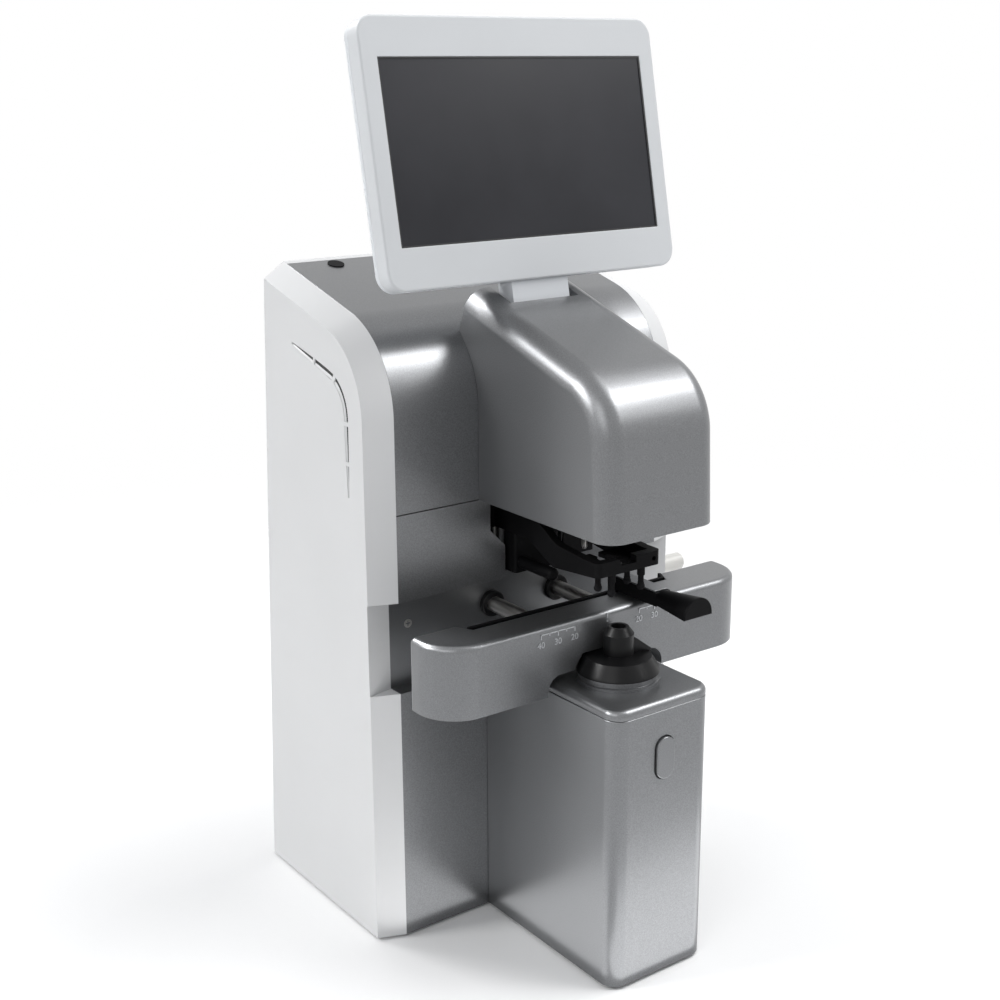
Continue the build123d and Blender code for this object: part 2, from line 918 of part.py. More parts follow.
with BuildPart() as boss_ring:
    with BuildSketch(Plane.XZ):
        with BuildLine():
            Polyline(
                (sensor_radius + 0.5, pedestal_top),
                (boss_foot_radius, pedestal_top),
                (boss_foot_radius, pedestal_top + boss_foot_height),
                (boss_radius, pedestal_top + boss_foot_height + boss_step),
                (boss_radius, boss_top),
                (sensor_radius + 0.5, boss_top),
                close=True,
            )
        make_face()
    revolve(axis=Axis.Z)
    top_circles = boss_ring.edges().filter_by(GeomType.CIRCLE).group_by(Axis.Z)[-1]
    fillet(top_circles.sort_by(SortBy.RADIUS)[-1], boss_edge)
save(boss_ring, "boss_ring")

gusset_root = tube_radius - 1.5
gusset_peak = boss_top + tube_height - gusset_drop
with BuildPart() as nosepiece:
    with BuildSketch(Plane.XZ):
        with BuildLine():
            Polyline(
                (nose_hollow, boss_top),
                (skirt_radius, boss_top),
                (skirt_radius, boss_top + skirt_rim),
                (skirt_top_radius, boss_top + skirt_height),
                (tube_radius, boss_top + skirt_height + skirt_crown),
                (tube_radius, boss_top + tube_height),
                (tip_radius, boss_top + tip_height),
                (nose_bore, boss_top + tip_height),
                (nose_bore, boss_top + nose_floor + 3),
                (nose_hollow, boss_top + nose_floor),
                close=True,
            )
        make_face()
    revolve(axis=Axis.Z)
    with BuildSketch(Plane.XZ.offset(-gusset_wide / 2)):
        with BuildLine():
            Polyline(
                (gusset_root, boss_top + skirt_height - gusset_sink),
                (gusset_toe, boss_top + skirt_height - gusset_sink),
                (gusset_toe, boss_top + skirt_height + gusset_toe_rise),
                (tube_radius + 0.2, gusset_peak),
                (gusset_root, gusset_peak),
                close=True,
            )
        make_face()
    extrude(amount=gusset_wide)
save(nosepiece, "nosepiece")

with BuildPart() as cover_glass:
    with BuildSketch(Plane.XY.offset(boss_top + tip_height - 4)):
        Circle(nose_bore - running_gap)
    extrude(amount=1)
save(cover_glass, "cover_glass")

# Sensor tube on a legged shelf inside the pedestal
shelf_top = sensor_low
shelf_front = pedestal_front + sheet + shelf_gap
with BuildPart() as sensor_shelf:
    with BuildSketch(Plane.XY.offset(shelf_top - shelf_thick)):
        with Locations((0, shelf_front)):
            Rectangle(2 * shelf_half, shelf_deep, align=(Align.CENTER, Align.MIN))
        Circle(sensor_radius - sensor_wall - 1, mode=Mode.SUBTRACT)
    extrude(amount=shelf_thick)
    with BuildSketch(Plane.XY.offset(base_top)):
        for y in (shelf_front, shelf_front + shelf_deep - leg_size):
            with Locations((-shelf_half, y)):
                Rectangle(leg_size, leg_size, align=(Align.MIN, Align.MIN))
            with Locations((shelf_half, y)):
                Rectangle(leg_size, leg_size, align=(Align.MAX, Align.MIN))
    extrude(amount=shelf_top - shelf_thick - base_top)
save(sensor_shelf, "sensor_shelf")

with BuildPart() as sensor_tube:
    with BuildSketch(Plane.XY.offset(shelf_top)):
        Circle(sensor_radius)
    extrude(amount=boss_top - shelf_top)
    with BuildSketch(Plane.XY.offset(shelf_top)):
        Circle(sensor_radius + sensor_flange)
    extrude(amount=shelf_thick)
    with BuildSketch(Plane.XY.offset(shelf_top + sensor_floor)):
        Circle(sensor_radius - sensor_wall)
    extrude(amount=boss_top - shelf_top, mode=Mode.SUBTRACT)
save(sensor_tube, "sensor_tube")

with BuildPart() as sensor_board:
    with BuildSketch(Plane.XY.offset(shelf_top - shelf_thick)):
        RectangleRounded(sensor_board_size, sensor_board_size, 2)
    extrude(amount=-board_thick)
    with BuildSketch(Plane.XY.offset(shelf_top - shelf_thick)):
        Rectangle(sensor_chip, sensor_chip)
    extrude(amount=shelf_thick - 1)
save(sensor_board, "sensor_board")

# Reading button with a retaining lip, and its switch on a bracket from the shelf
button_back = pedestal_front + sheet
with BuildPart() as read_button:
    with BuildSketch(Plane.XZ.offset(-pedestal_front + button_proud)):
        with Locations((0, button_z)):
            SlotOverall(button_tall, button_wide, rotation=90)
    extrude(amount=-button_proud - sheet)
    fillet(read_button.edges().group_by(Axis.Y)[0], button_edge)
    with BuildSketch(Plane.XZ.offset(-button_back)):
        with Locations((0, button_z)):
            SlotOverall(
                button_tall + 2 * button_flange, button_wide + 2 * button_flange, rotation=90
            )
    extrude(amount=-button_lip)
    with BuildSketch(Plane.XZ.offset(-button_back - button_lip)):
        with Locations((0, button_z)):
            Circle(button_stem_radius)
    extrude(amount=-button_stem)
save(read_button, "read_button")

switch_face = button_back + button_lip + button_stem + button_travel + switch_gap
with BuildPart() as button_switch:
    with BuildSketch(Plane.XY.offset(shelf_top)):
        with Locations((0, switch_face)):
            Rectangle(switch_wide, switch_thick, align=(Align.CENTER, Align.MIN))
    extrude(amount=button_z + button_tall / 2 - shelf_top)
    with BuildSketch(Plane.XY.offset(shelf_top)):
        with Locations((0, switch_face + switch_thick)):
            Rectangle(switch_wide, switch_foot, align=(Align.CENTER, Align.MAX))
    extrude(amount=switch_thick)
save(button_switch, "button_switch")

# Head: rounded overhanging cover that saddles the roll of the tower
def head_line(y, drop):
    return head_line_z - drop / cos(head_slope) + (y - head_line_y) * tan(head_slope)


def head_front_at(z, inset):
    return head_front + inset / cos(head_lean) + (z - seam_z) * tan(head_lean)


def head_corner(inset):
    start = head_front_at(seam_z, inset)
    rise = tan(head_lean)
    flat = head_line(0, inset) - seam_z
    corner_y = (start + rise * flat) / (1 - rise * tan(head_slope))
    return corner_y, head_line(corner_y, inset)


saddle_z = roll_z + sqrt(roll_radius**2 - (tower_front + roll_radius - head_rear_y) ** 2)


def head_rear_top(inset):
    slant = tan(head_rear_lean)
    start = head_rear_y - inset / cos(head_rear_lean)
    top = (head_line(0, inset) + start * tan(head_slope) + saddle_z * slant * tan(head_slope)) / (
        1 + slant * tan(head_slope)
    )
    return start - (top - saddle_z) * slant, top


def head_lines(inset, low, deep):
    slant_foot = head_rear_y - inset / cos(head_rear_lean) + saddle_sink * tan(head_rear_lean)
    Polyline(
        (head_front_at(low, inset), low),
        head_corner(inset),
        head_rear_top(inset),
        (slant_foot, saddle_z - saddle_sink),
        (deep, saddle_z - saddle_sink),
        (deep, low),
        close=True,
    )


def head_form(inset):
    low = seam_z if inset == 0 else seam_z - 1
    with BuildPart() as form:
        with BuildSketch(Plane.YZ.offset(inset - head_half)):
            with BuildLine():
                head_lines(inset, low, head_rear_y + 6)
            make_face()
            fillet(vertices().sort_by_distance((*head_corner(inset), 0))[0], head_roll - inset)
        extrude(amount=2 * (head_half - inset))
        outline_edges = [
            edge
            for edge in form.edges()
            if abs(abs(edge.center().X) - head_half + inset) < 0.01
            and edge.center().Z > seam_z + 1
            and (edge.center().Y < 0 or edge.center().Z > saddle_z + saddle_sink)
            and edge.center().Y < 70
        ]
        fillet(outline_edges, head_edge - inset)
    return form.part


head_outside = head_form(0)
head_inside = head_form(sheet)
with BuildPart() as head_cover:
    add(head_outside)
    add(head_inside, mode=Mode.SUBTRACT)
    with BuildSketch(Plane.YZ.offset(-head_half - 1)):
        with BuildLine():
            casing_lines(-running_gap, cover_low)
        make_face()
    extrude(amount=2 * head_half + 2, mode=Mode.SUBTRACT)
    with BuildSketch(Plane.XY.offset(head_line(neck_slot_front, 0) - 14)):
        with Locations((0, neck_slot_front)):
            Rectangle(2 * neck_slot_half, 40, align=(Align.CENTER, Align.MIN))
    extrude(amount=60, mode=Mode.SUBTRACT)
save(head_cover, "head_cover")

head_inner = head_half - sheet - fit_gap
with BuildPart() as head_base:
    with BuildSketch(Plane.XY.offset(seam_z)):
        with Locations((0, head_front + sheet + 1)):
            Rectangle(
                2 * head_inner, tower_front - head_front - sheet - 1.2, align=(Align.CENTER, Align.MIN)
            )
        fillet(vertices().group_by(Axis.Y)[0], head_edge - sheet)
        Circle(lamp_window, mode=Mode.SUBTRACT)
        with Locations((0, 4)):
            Rectangle(12, 32, align=(Align.CENTER, Align.MIN), mode=Mode.SUBTRACT)
    extrude(amount=head_base_thick)
save(head_base, "head_base")

# Lamp tube with its lens and board, held by an arm from the chassis
with BuildPart() as optics_arm:
    for x in (-arm_inner - arm_thick, arm_inner):
        with BuildSketch(Plane.YZ.offset(x)):
            with BuildLine():
                Polyline(
                    (arm_front, arm_low),
                    (chassis_y, arm_low),
                    (chassis_y, arm_high),
                    (roll_y(arm_high, 0), arm_high),
                    (arm_front, arm_low + 12),
                    close=True,
                )
            make_face()
        extrude(amount=arm_thick)
    with BuildSketch(Plane.XY.offset(arm_low)):
        with Locations((0, arm_front)):
            Rectangle(
                2 * (arm_inner + arm_thick), arm_web_rear - arm_front, align=(Align.CENTER, Align.MIN)
            )
        Circle(lamp_radius + running_gap, mode=Mode.SUBTRACT)
    extrude(amount=arm_thick)
save(optics_arm, "optics_arm")

with BuildPart() as lamp_tube:
    with BuildSketch(Plane.XZ):
        with BuildLine():
            Polyline(
                (lamp_bore, lamp_low),
                (lamp_radius, lamp_low),
                (lamp_radius, arm_low + arm_thick),
                (lamp_radius + 1.8, arm_low + arm_thick),
                (lamp_radius + 1.8, arm_low + arm_thick + 3),
                (lamp_radius, arm_low + arm_thick + 3),
                (lamp_radius, lamp_high),
                (lamp_bore, lamp_high),
                close=True,
            )
        make_face()
    revolve(axis=Axis.Z)
save(lamp_tube, "lamp_tube")

lens_edge_radius = lamp_bore - running_gap
lens_flat = lamp_low + 1
lens_sag = lens_thick - 2
lens_ball = (lens_edge_radius**2 + lens_sag**2) / (2 * lens_sag)
with BuildPart() as lamp_lens:
    with BuildSketch(Plane.XY.offset(lens_flat)):
        Circle(lens_edge_radius)
    extrude(amount=lens_thick)
    with Locations((0, 0, lens_flat + lens_thick - lens_ball)):
        Sphere(lens_ball, mode=Mode.INTERSECT)
save(lamp_lens, "lamp_lens")

with BuildPart() as lamp_board:
    with BuildSketch(Plane.XY.offset(lamp_high)):
        RectangleRounded(24, 24, 2)
    extrude(amount=1.6)
    with BuildSketch(Plane.XY.offset(lamp_high)):
        Circle(2.5)
    extrude(amount=-2)
save(lamp_board, "lamp_board")

# Table rods run in flanged bushes through a bearing block behind the channel wall
block_front_y = recess_y + sheet
with BuildPart() as bearing_block:
    with BuildSketch(Plane.XZ.offset(-block_front_y)):
        with Locations((block_left, block_low)):
            Rectangle(
                block_right - block_left, block_high - block_low, align=(Align.MIN, Align.MIN)
            )
        with Locations((-rod_x, rod_z), (rod_x, rod_z)):
            Circle(bush_radius + running_gap, mode=Mode.SUBTRACT)
    extrude(amount=-(chassis_y - block_front_y))
    with BuildSketch(Plane.XY.offset(block_high)):
        with Locations((-guide_x, guide_y), (guide_x, guide_y)):
            Circle(guide_radius + running_gap)
    extrude(amount=-7, mode=Mode.SUBTRACT)
    with BuildSketch(Plane.YZ.offset(block_right)):
        with Locations((pinion_y, pinion_z)):
            Circle(shaft_radius + running_gap)
    extrude(amount=-shaft_bore_deep, mode=Mode.SUBTRACT)
save(bearing_block, "bearing_block")

with BuildPart() as rod_bushes:
    with BuildSketch(Plane.XZ.offset(-recess_y)):
        with Locations((-rod_x, rod_z), (rod_x, rod_z)):
            Circle(bush_radius)
    extrude(amount=-(chassis_y - recess_y))
    with BuildSketch(Plane.XZ.offset(-recess_y)):
        with Locations((-rod_x, rod_z), (rod_x, rod_z)):
            Circle(bush_flange_radius)
    extrude(amount=bush_flange)
    fillet(rod_bushes.edges().filter_by(GeomType.CIRCLE).group_by(Axis.Y)[0], 0.8)
    with BuildSketch(Plane.XZ.offset(-chassis_y - 1)):
        with Locations((-rod_x, rod_z), (rod_x, rod_z)):
            Circle(rod_radius + running_gap)
    extrude(amount=chassis_y - recess_y + bush_flange + 3, mode=Mode.SUBTRACT)
save(rod_bushes, "rod_bushes")

# Presser guides between the bearing block and a bracket on the chassis
with BuildPart() as guide_bracket:
    with BuildSketch(Plane.XY.offset(bracket_low)):
        with Locations((0, guide_y - 6)):
            Rectangle(36, chassis_y - guide_y + 6, align=(Align.CENTER, Align.MIN))
        with Locations((-guide_x, guide_y), (guide_x, guide_y)):
            Circle(guide_radius + running_gap, mode=Mode.SUBTRACT)
    extrude(amount=bracket_high - bracket_low)
save(guide_bracket, "guide_bracket")

with BuildPart() as presser_guides:
    with BuildSketch(Plane.XY.offset(block_high - 7)):
        with Locations((-guide_x, guide_y), (guide_x, guide_y)):
            Circle(guide_radius)
    extrude(amount=bracket_high + 2 - block_high + 7)
save(presser_guides, "presser_guides")

# Frame table
scoop_low_radius = skirt_radius + scoop_gap
with BuildPart() as table_bar:
    with BuildSketch(Plane.XY.offset(table_low)):
        with BuildLine():
            Polyline(
                (-table_half, table_front),
                (table_half, table_front),
                (table_half, table_rear),
                (recess_right + recess_slant, table_rear),
                (recess_right, recess_rear),
                (recess_left + recess_slant, recess_rear),
                (recess_left, table_rear),
                (-table_half, table_rear),
                close=True,
            )
        make_face()
        fillet(vertices().group_by(Axis.Y)[0], table_corner)
        outer_corners = vertices().filter_by(lambda corner: abs(corner.X) > table_half - 1)
        fillet(outer_corners.group_by(Axis.Y)[-1], table_rear_corner)
    extrude(amount=table_high - table_low)
    with BuildSketch(Plane.XZ.offset(-table_front + 1)):
        with Locations((0, table_low - 2)):
            Rectangle(2 * arch_half, arch_high - table_low + 2, align=(Align.CENTER, Align.MIN))
        fillet(vertices().group_by(Axis.Y)[-1], arch_corner)
    extrude(amount=-(table_rear - table_front + 2), mode=Mode.SUBTRACT)
    front_top = [
        edge
        for edge in table_bar.faces().sort_by(Axis.Z)[-1].edges()
        if edge.center().Y < table_front + table_corner
    ]
    fillet(front_top, table_edge)
    with BuildSketch(Plane.XZ):
        with BuildLine():
            Polyline(
                (0, table_low - 1),
                (scoop_low_radius, table_low - 1),
                (scoop_low_radius, boss_top + skirt_rim + 1),
                (skirt_top_radius + scoop_gap, boss_top + skirt_height + scoop_gap),
                (0, boss_top + skirt_height + scoop_gap),
                close=True,
            )
        make_face()
    revolve(axis=Axis.Z, mode=Mode.SUBTRACT)
    with BuildSketch(Plane.XY.offset(table_low)):
        for x in (-pocket_outer, -pocket_inner, pocket_inner, pocket_outer):
            with Locations((x, (table_front + recess_rear) / 2)):
                RectangleRounded(pocket_wide, recess_rear - table_front - 2 * pocket_wall, 3)
    extrude(amount=pocket_deep, mode=Mode.SUBTRACT)
    with BuildSketch(Plane.XZ.offset(-table_rear - 1)):
        with Locations((-rod_x, rod_z), (rod_x, rod_z)):
            Circle(rod_radius + running_gap)
    extrude(amount=table_rear + 1 - rod_seat, mode=Mode.SUBTRACT)
save(table_bar, "table_bar")

with BuildPart() as table_rods:
    with BuildSketch(Plane.XZ.offset(-rod_rear)):
        with Locations((-rod_x, rod_z), (rod_x, rod_z)):
            Circle(rod_radius)
    extrude(amount=rod_rear - rod_seat)
    chamfer(table_rods.edges().filter_by(GeomType.CIRCLE).group_by(Axis.Y)[-1], 0.6)
save(table_rods, "table_rods")

# Black guide strip along the recess, turned back along its slanted right end
slant_rise = table_rear - recess_rear
slant_length = hypot(recess_slant, slant_rise)
hook_x = recess_right + recess_slant * rail_hook_share
hook_y = recess_rear + slant_rise * rail_hook_share
shift_x = rail_thick * slant_rise / slant_length
shift_y = rail_thick * recess_slant / slant_length
inner_x = recess_right - shift_x + (rail_thick - shift_y) * recess_slant / slant_rise
with BuildPart() as table_rail:
    with BuildSketch(Plane.XY.offset(rail_low)):
        with BuildLine():
            Polyline(
                (rail_left, recess_rear),
                (recess_right, recess_rear),
                (hook_x, hook_y),
                (hook_x - shift_x, hook_y + shift_y),
                (inner_x, recess_rear + rail_thick),
                (rail_left, recess_rear + rail_thick),
                close=True,
            )
        make_face()
    extrude(amount=table_high + rail_proud - rail_low)
save(table_rail, "table_rail")

# Rack with its teeth on top
rack_pitch_z = pinion_z - pinion_radius
tooth_pitch = pi * pinion_module


def rack_tooth(y):
    Polyline(
        (y - tooth_thick / 2 - tooth_down * tan(radians(20)), rack_pitch_z - tooth_down),
        (y - tooth_tip / 2, rack_pitch_z + tooth_up),
        (y + tooth_tip / 2, rack_pitch_z + tooth_up),
        (y + tooth_thick / 2 + tooth_down * tan(radians(20)), rack_pitch_z - tooth_down),
        close=True,
    )


with BuildPart() as table_rack:
    with BuildSketch(Plane.YZ.offset(rack_x - rack_wide / 2)):
        with Locations((table_rear, rack_pitch_z - tooth_down)):
            Rectangle(rack_rear - table_rear, rack_base, align=(Align.MIN, Align.MAX))
        for step in range(-11, 3):
            with BuildLine():
                rack_tooth(pinion_y + (step + 0.5) * tooth_pitch)
            make_face()
    extrude(amount=rack_wide)
save(table_rack, "table_rack")

# Pinion, shaft and side knob
pinion_root = pinion_radius - tooth_down
with BuildPart() as pinion:
    with BuildSketch(Plane.YZ.offset(rack_x - rack_wide / 2)):
        with Locations((pinion_y, pinion_z)):
            Circle(pinion_root)
            with PolarLocations(0, pinion_teeth, start_angle=-90):
                with Locations((pinion_radius + tooth_up / 2 - tooth_down / 2, 0)):
                    Trapezoid(
                        tooth_thick + 0.5,
                        tooth_up + tooth_down + 0.3,
                        78,
                        rotation=-90,
                    )
            Circle(shaft_radius + wheel_fit, mode=Mode.SUBTRACT)
    extrude(amount=rack_wide)
save(pinion, "pinion")

knob_start = tower_half + bush_lip + knob_gap
knob_end = knob_start + knob_length
shaft_inner = block_right - shaft_engage
with BuildPart() as knob_shaft:
    with BuildSketch(Plane.YZ.offset(shaft_inner)):
        with Locations((pinion_y, pinion_z)):
            Circle(shaft_radius)
    extrude(amount=knob_start + knob_bore_deep - shaft_inner)
save(knob_shaft, "knob_shaft")

with BuildPart() as shaft_bush:
    with BuildSketch(Plane.YZ.offset(tower_half - wall - 4)):
        with Locations((pinion_y, pinion_z)):
            Circle(shaft_bush_radius - running_gap)
            Circle(shaft_radius + running_gap, mode=Mode.SUBTRACT)
    extrude(amount=wall + 4)
    with BuildSketch(Plane.YZ.offset(tower_half)):
        with Locations((pinion_y, pinion_z)):
            Circle(shaft_bush_radius + bush_lip_wide)
            Circle(shaft_radius + running_gap, mode=Mode.SUBTRACT)
    extrude(amount=bush_lip)
save(shaft_bush, "shaft_bush")

with BuildPart() as side_knob:
    with BuildSketch(Plane.XY.offset(pinion_z)):
        with BuildLine():
            Polyline(
                (knob_start, pinion_y),
                (knob_start, pinion_y + knob_radius - knob_skirt),
                (knob_start + knob_skirt_long, pinion_y + knob_radius - knob_skirt),
                (knob_start + knob_skirt_long + knob_skirt, pinion_y + knob_radius),
                (knob_end, pinion_y + knob_radius),
                (knob_end, pinion_y),
                close=True,
            )
        make_face()
    revolve(axis=Axis((knob_start, pinion_y, pinion_z), (1, 0, 0)))
    fillet(side_knob.edges().filter_by(GeomType.CIRCLE).group_by(Axis.X)[-1], knob_edge)
    with BuildSketch(Plane.YZ.offset(knob_start)):
        with Locations((pinion_y, pinion_z)):
            Circle(shaft_radius + wheel_fit)
    extrude(amount=knob_bore_deep, mode=Mode.SUBTRACT)
save(side_knob, "side_knob")

# Nose-pad slider: saddle over the table top, hooked behind the rail, with its handle in front
rail_top = table_high + rail_proud
saddle_low = rail_top + slide_gap
hook_front = recess_rear + rail_thick + slide_gap
saddle_rear = hook_front + slider_hook
handle_low = saddle_low + 0.8


def handle_section(half, height):
    Line((-half, 0), (half, 0))
    Line((half, 0), (half, height - half))
    ThreePointArc((half, height - half), (0, height), (-half, height - half))
    Line((-half, height - half), (-half, 0))


def handle_plane(y):
    return Plane(origin=(slider_x, y, handle_low), x_dir=(1, 0, 0), z_dir=(0, -1, 0))


with BuildPart() as nose_slider:
    with BuildSketch(handle_plane(handle_front)):
        with BuildLine():
            handle_section(handle_front_half, handle_front_height)
        make_face()
    with BuildSketch(handle_plane(handle_root)):
        with BuildLine():
            handle_section(handle_root_half, handle_root_height)
        make_face()
    loft()
    fillet(nose_slider.faces().sort_by(Axis.Y)[0].edges(), 0.5)
    with BuildSketch(Plane.YZ.offset(slider_x - slider_half)):
        with BuildLine():
            Polyline(
                (handle_root, saddle_low),
                (hook_front, saddle_low),
                (hook_front, slider_hook_low),
                (saddle_rear, slider_hook_low),
                (saddle_rear, slider_top - 2),
                (saddle_rear - 2, slider_top),
                (handle_root, slider_top),
                close=True,
            )
        make_face()
    extrude(amount=2 * slider_half)
save(nose_slider, "nose_slider")

with BuildPart() as slider_cap:
    with BuildSketch(Plane.XY.offset(slider_top)):
        with Locations((slider_x, handle_root + 1.6)):
            Rectangle(
                2 * slider_half - 1.0,
                saddle_rear - handle_root - 5,
                align=(Align.CENTER, Align.MIN),
            )
    extrude(amount=cap_thick)
save(slider_cap, "slider_cap")

# Lens presser: forked gooseneck arm, four pins with rubber tips, a block and a carriage
arm_waist = 28.0
arm_waist_rear = 50.0
with BuildPart() as presser_arm:
    with BuildSketch(Plane.YZ.offset(-presser_half)):
        with BuildLine():
            Polyline(
                (presser_front, cross_low),
                (25.3, cross_low - 3),
                (42, cross_low + 1.2),
                (52, root_low),
                (presser_root_y, root_low),
                (presser_root_y, root_high),
                (58, root_high),
                (34.2, cross_high + 6.5),
                (22.7, cross_high + 1.8),
                (presser_front + 2 * cheek_thick, cross_high),
                (presser_front, cross_high),
                close=True,
            )
        make_face()
        neck_points = [
            corner for corner in vertices() if 20 < corner.Y < 60 and corner.Z < root_high + 1
        ]
        fillet(neck_points, 5)
    extrude(amount=2 * presser_half)
    with BuildSketch(Plane.XY.offset(cross_low - 10)):
        with BuildLine():
            Polyline(
                (-presser_half, presser_front),
                (presser_half, presser_front),
                (presser_half, arm_waist),
                (presser_root_half, arm_waist_rear),
                (presser_root_half, presser_root_y),
                (-presser_root_half, presser_root_y),
                (-presser_root_half, arm_waist_rear),
                (-presser_half, arm_waist),
                close=True,
            )
        make_face()
        fillet(vertices().group_by(Axis.Y)[0], 3)
        with BuildLine():
            inner_half = presser_half - cheek_thick
            root_inner = presser_root_half - cheek_thick
            Polyline(
                (-inner_half, presser_front + cheek_thick + 0.3),
                (inner_half, presser_front + cheek_thick + 0.3),
                (inner_half, arm_waist),
                (root_inner, arm_waist_rear),
                (root_inner, arm_waist_rear + 11),
                (-root_inner, arm_waist_rear + 11),
                (-root_inner, arm_waist_rear),
                (-inner_half, arm_waist),
                close=True,
            )
        make_face(mode=Mode.SUBTRACT)
    extrude(amount=40, mode=Mode.INTERSECT)
    with BuildSketch(Plane.XY.offset(cross_low)):
        with Locations((0, presser_front + 1)):
            Rectangle(
                2 * inner_half + 1, tray_rear - presser_front - 1, align=(Align.CENTER, Align.MIN)
            )
        with Locations((0, tray_rear + 1)):
            Rectangle(
                2 * marker_slot_half,
                tray_rear + 1 - marker_drop,
                align=(Align.CENTER, Align.MAX),
                mode=Mode.SUBTRACT,
            )
    extrude(amount=tray_thick)
    with BuildSketch(Plane.XZ.offset(-presser_front + 1)):
        with BuildLine():
            Polyline(
                (dip_left - dip_depth / 2, cross_high + 1),
                (dip_left, cross_high - dip_depth),
                (dip_right, cross_high - dip_depth),
                (dip_right, cross_high + 1),
                close=True,
            )
        make_face()
    extrude(amount=-cheek_thick - 2, mode=Mode.SUBTRACT)
    with BuildSketch(Plane.XY.offset(cross_low - 10)):
        with Locations((0, marker_drop / 2)):
            SlotOverall(
                marker_drop + 2 * (sleeve_radius + marker_relief),
                2 * (sleeve_radius + marker_relief),
                rotation=90,
            )
    extrude(amount=40, mode=Mode.SUBTRACT)
    with BuildSketch(Plane.XY.offset(cross_low - 4)):
        with Locations(*[(x, y) for x in (-pin_x, pin_x) for y in (-pin_y, pin_y)]):
            Circle(pin_collar + 0.02)
    extrude(amount=4, mode=Mode.SUBTRACT)
    with BuildSketch(Plane.XZ.offset(-presser_front)):
        with Locations((end_hole_x, (cross_low + cross_high) / 2)):
            Circle(end_hole_radius)
    extrude(amount=-cheek_thick / 2, mode=Mode.SUBTRACT)
save(presser_arm, "presser_arm")

pin_spots = [(x, y) for x in (-pin_x, pin_x) for y in (-pin_y, pin_y)]
with BuildPart() as press_pins:
    with BuildSketch(Plane.XY.offset(cross_low)):
        with Locations(*pin_spots):
            Circle(pin_radius)
    extrude(amount=-(cross_low - pin_tip_z - 2 * tip_bulb) - 1)
    with BuildSketch(Plane.XY.offset(cross_low)):
        with Locations(*pin_spots):
            Circle(pin_collar)
    extrude(amount=-4)
save(press_pins, "press_pins")

bulb_top = pin_tip_z + 2 * tip_bulb
with BuildPart() as press_tips:
    with Locations(*[(x, y, pin_tip_z + tip_bulb) for x, y in pin_spots]):
        Sphere(tip_bulb)
    with BuildSketch(Plane.XY.offset(pin_tip_z + tip_bulb)):
        with Locations(*pin_spots):
            Circle(pin_radius + 0.2)
    extrude(amount=tip_bulb)
    with BuildSketch(Plane.XY.offset(bulb_top - 1)):
        with Locations(*pin_spots):
            Circle(pin_radius)
    extrude(amount=2, mode=Mode.SUBTRACT)
save(press_tips, "press_tips")

with BuildPart() as presser_block:
    with BuildSketch(Plane.XY.offset(presser_block_low)):
        with Locations((presser_block_left, block_front)):
            Rectangle(
                presser_block_right - presser_block_left,
                block_back - block_front,
                align=(Align.MIN, Align.MIN),
            )
        fillet(vertices(), 1.5)
    extrude(amount=root_low - presser_block_low)
save(presser_block, "presser_block")

with BuildPart() as stop_pin:
    with BuildSketch(Plane.XZ.offset(-block_front)):
        with Locations((stop_x, stop_z)):
            Circle(stop_radius)
    extrude(amount=block_front - stop_front)
    fillet(stop_pin.edges().filter_by(GeomType.CIRCLE).group_by(Axis.Y)[0], 1.8)
save(stop_pin, "stop_pin")

with BuildPart() as presser_carriage:
    with BuildSketch(Plane.XY.offset(carriage_low)):
        with Locations((0, presser_root_y)):
            Rectangle(36, 16.5, align=(Align.CENTER, Align.MIN))
        with Locations((-guide_x, guide_y), (guide_x, guide_y)):
            Circle(guide_radius + running_gap, mode=Mode.SUBTRACT)
    extrude(amount=carriage_high - carriage_low)
    chamfer(presser_carriage.edges().filter_by(Axis.Z).group_by(Axis.Y)[-1], 2)
save(presser_carriage, "presser_carriage")

# Marker pen: pin in a sleeve on an inclined rod that slides through a guide block
rod_rise = cos(pi / 4)
marker_start = Vector(0, marker_y - 1, marker_rod_z - 1)
marker_plane = Plane(origin=tuple(marker_start), x_dir=(1, 0, 0), z_dir=(0, rod_rise, rod_rise))
with BuildPart() as marker_guide:
    with BuildSketch(Plane.XY.offset(guide_block_low)):
        with Locations((0, guide_block_front)):
            Rectangle(
                2 * arm_inner, guide_block_rear - guide_block_front, align=(Align.CENTER, Align.MIN)
            )
    extrude(amount=guide_block_high - guide_block_low)
    with BuildSketch(marker_plane):
        Circle(marker_rod_radius + running_gap)
    extrude(amount=60, mode=Mode.SUBTRACT)
save(marker_guide, "marker_guide")

with BuildPart() as marker_sleeve:
    with BuildSketch(Plane.XY.offset(sleeve_low)):
        with Locations((0, marker_y)):
            Circle(sleeve_radius)
    extrude(amount=sleeve_high - sleeve_low)
    chamfer(marker_sleeve.edges().group_by(Axis.Z)[0], 1)
    with BuildSketch(marker_plane):
        Circle(marker_rod_radius)
    extrude(amount=marker_rod_run * sqrt(2))
save(marker_sleeve, "marker_carrier")

with BuildPart() as marker_pin:
    with BuildSketch(Plane.XZ.offset(-marker_y)):
        with BuildLine():
            Polyline(
                (0, marker_tip_z),
                (marker_pin_radius * 0.5, marker_tip_z),
                (marker_pin_radius, marker_tip_z + 1.2),
                (marker_pin_radius, sleeve_low),
                (0, sleeve_low),
                close=True,
            )
        make_face()
    revolve(axis=Axis((0, marker_y, 0), (0, 0, 1)))
save(marker_pin, "marker_pin")

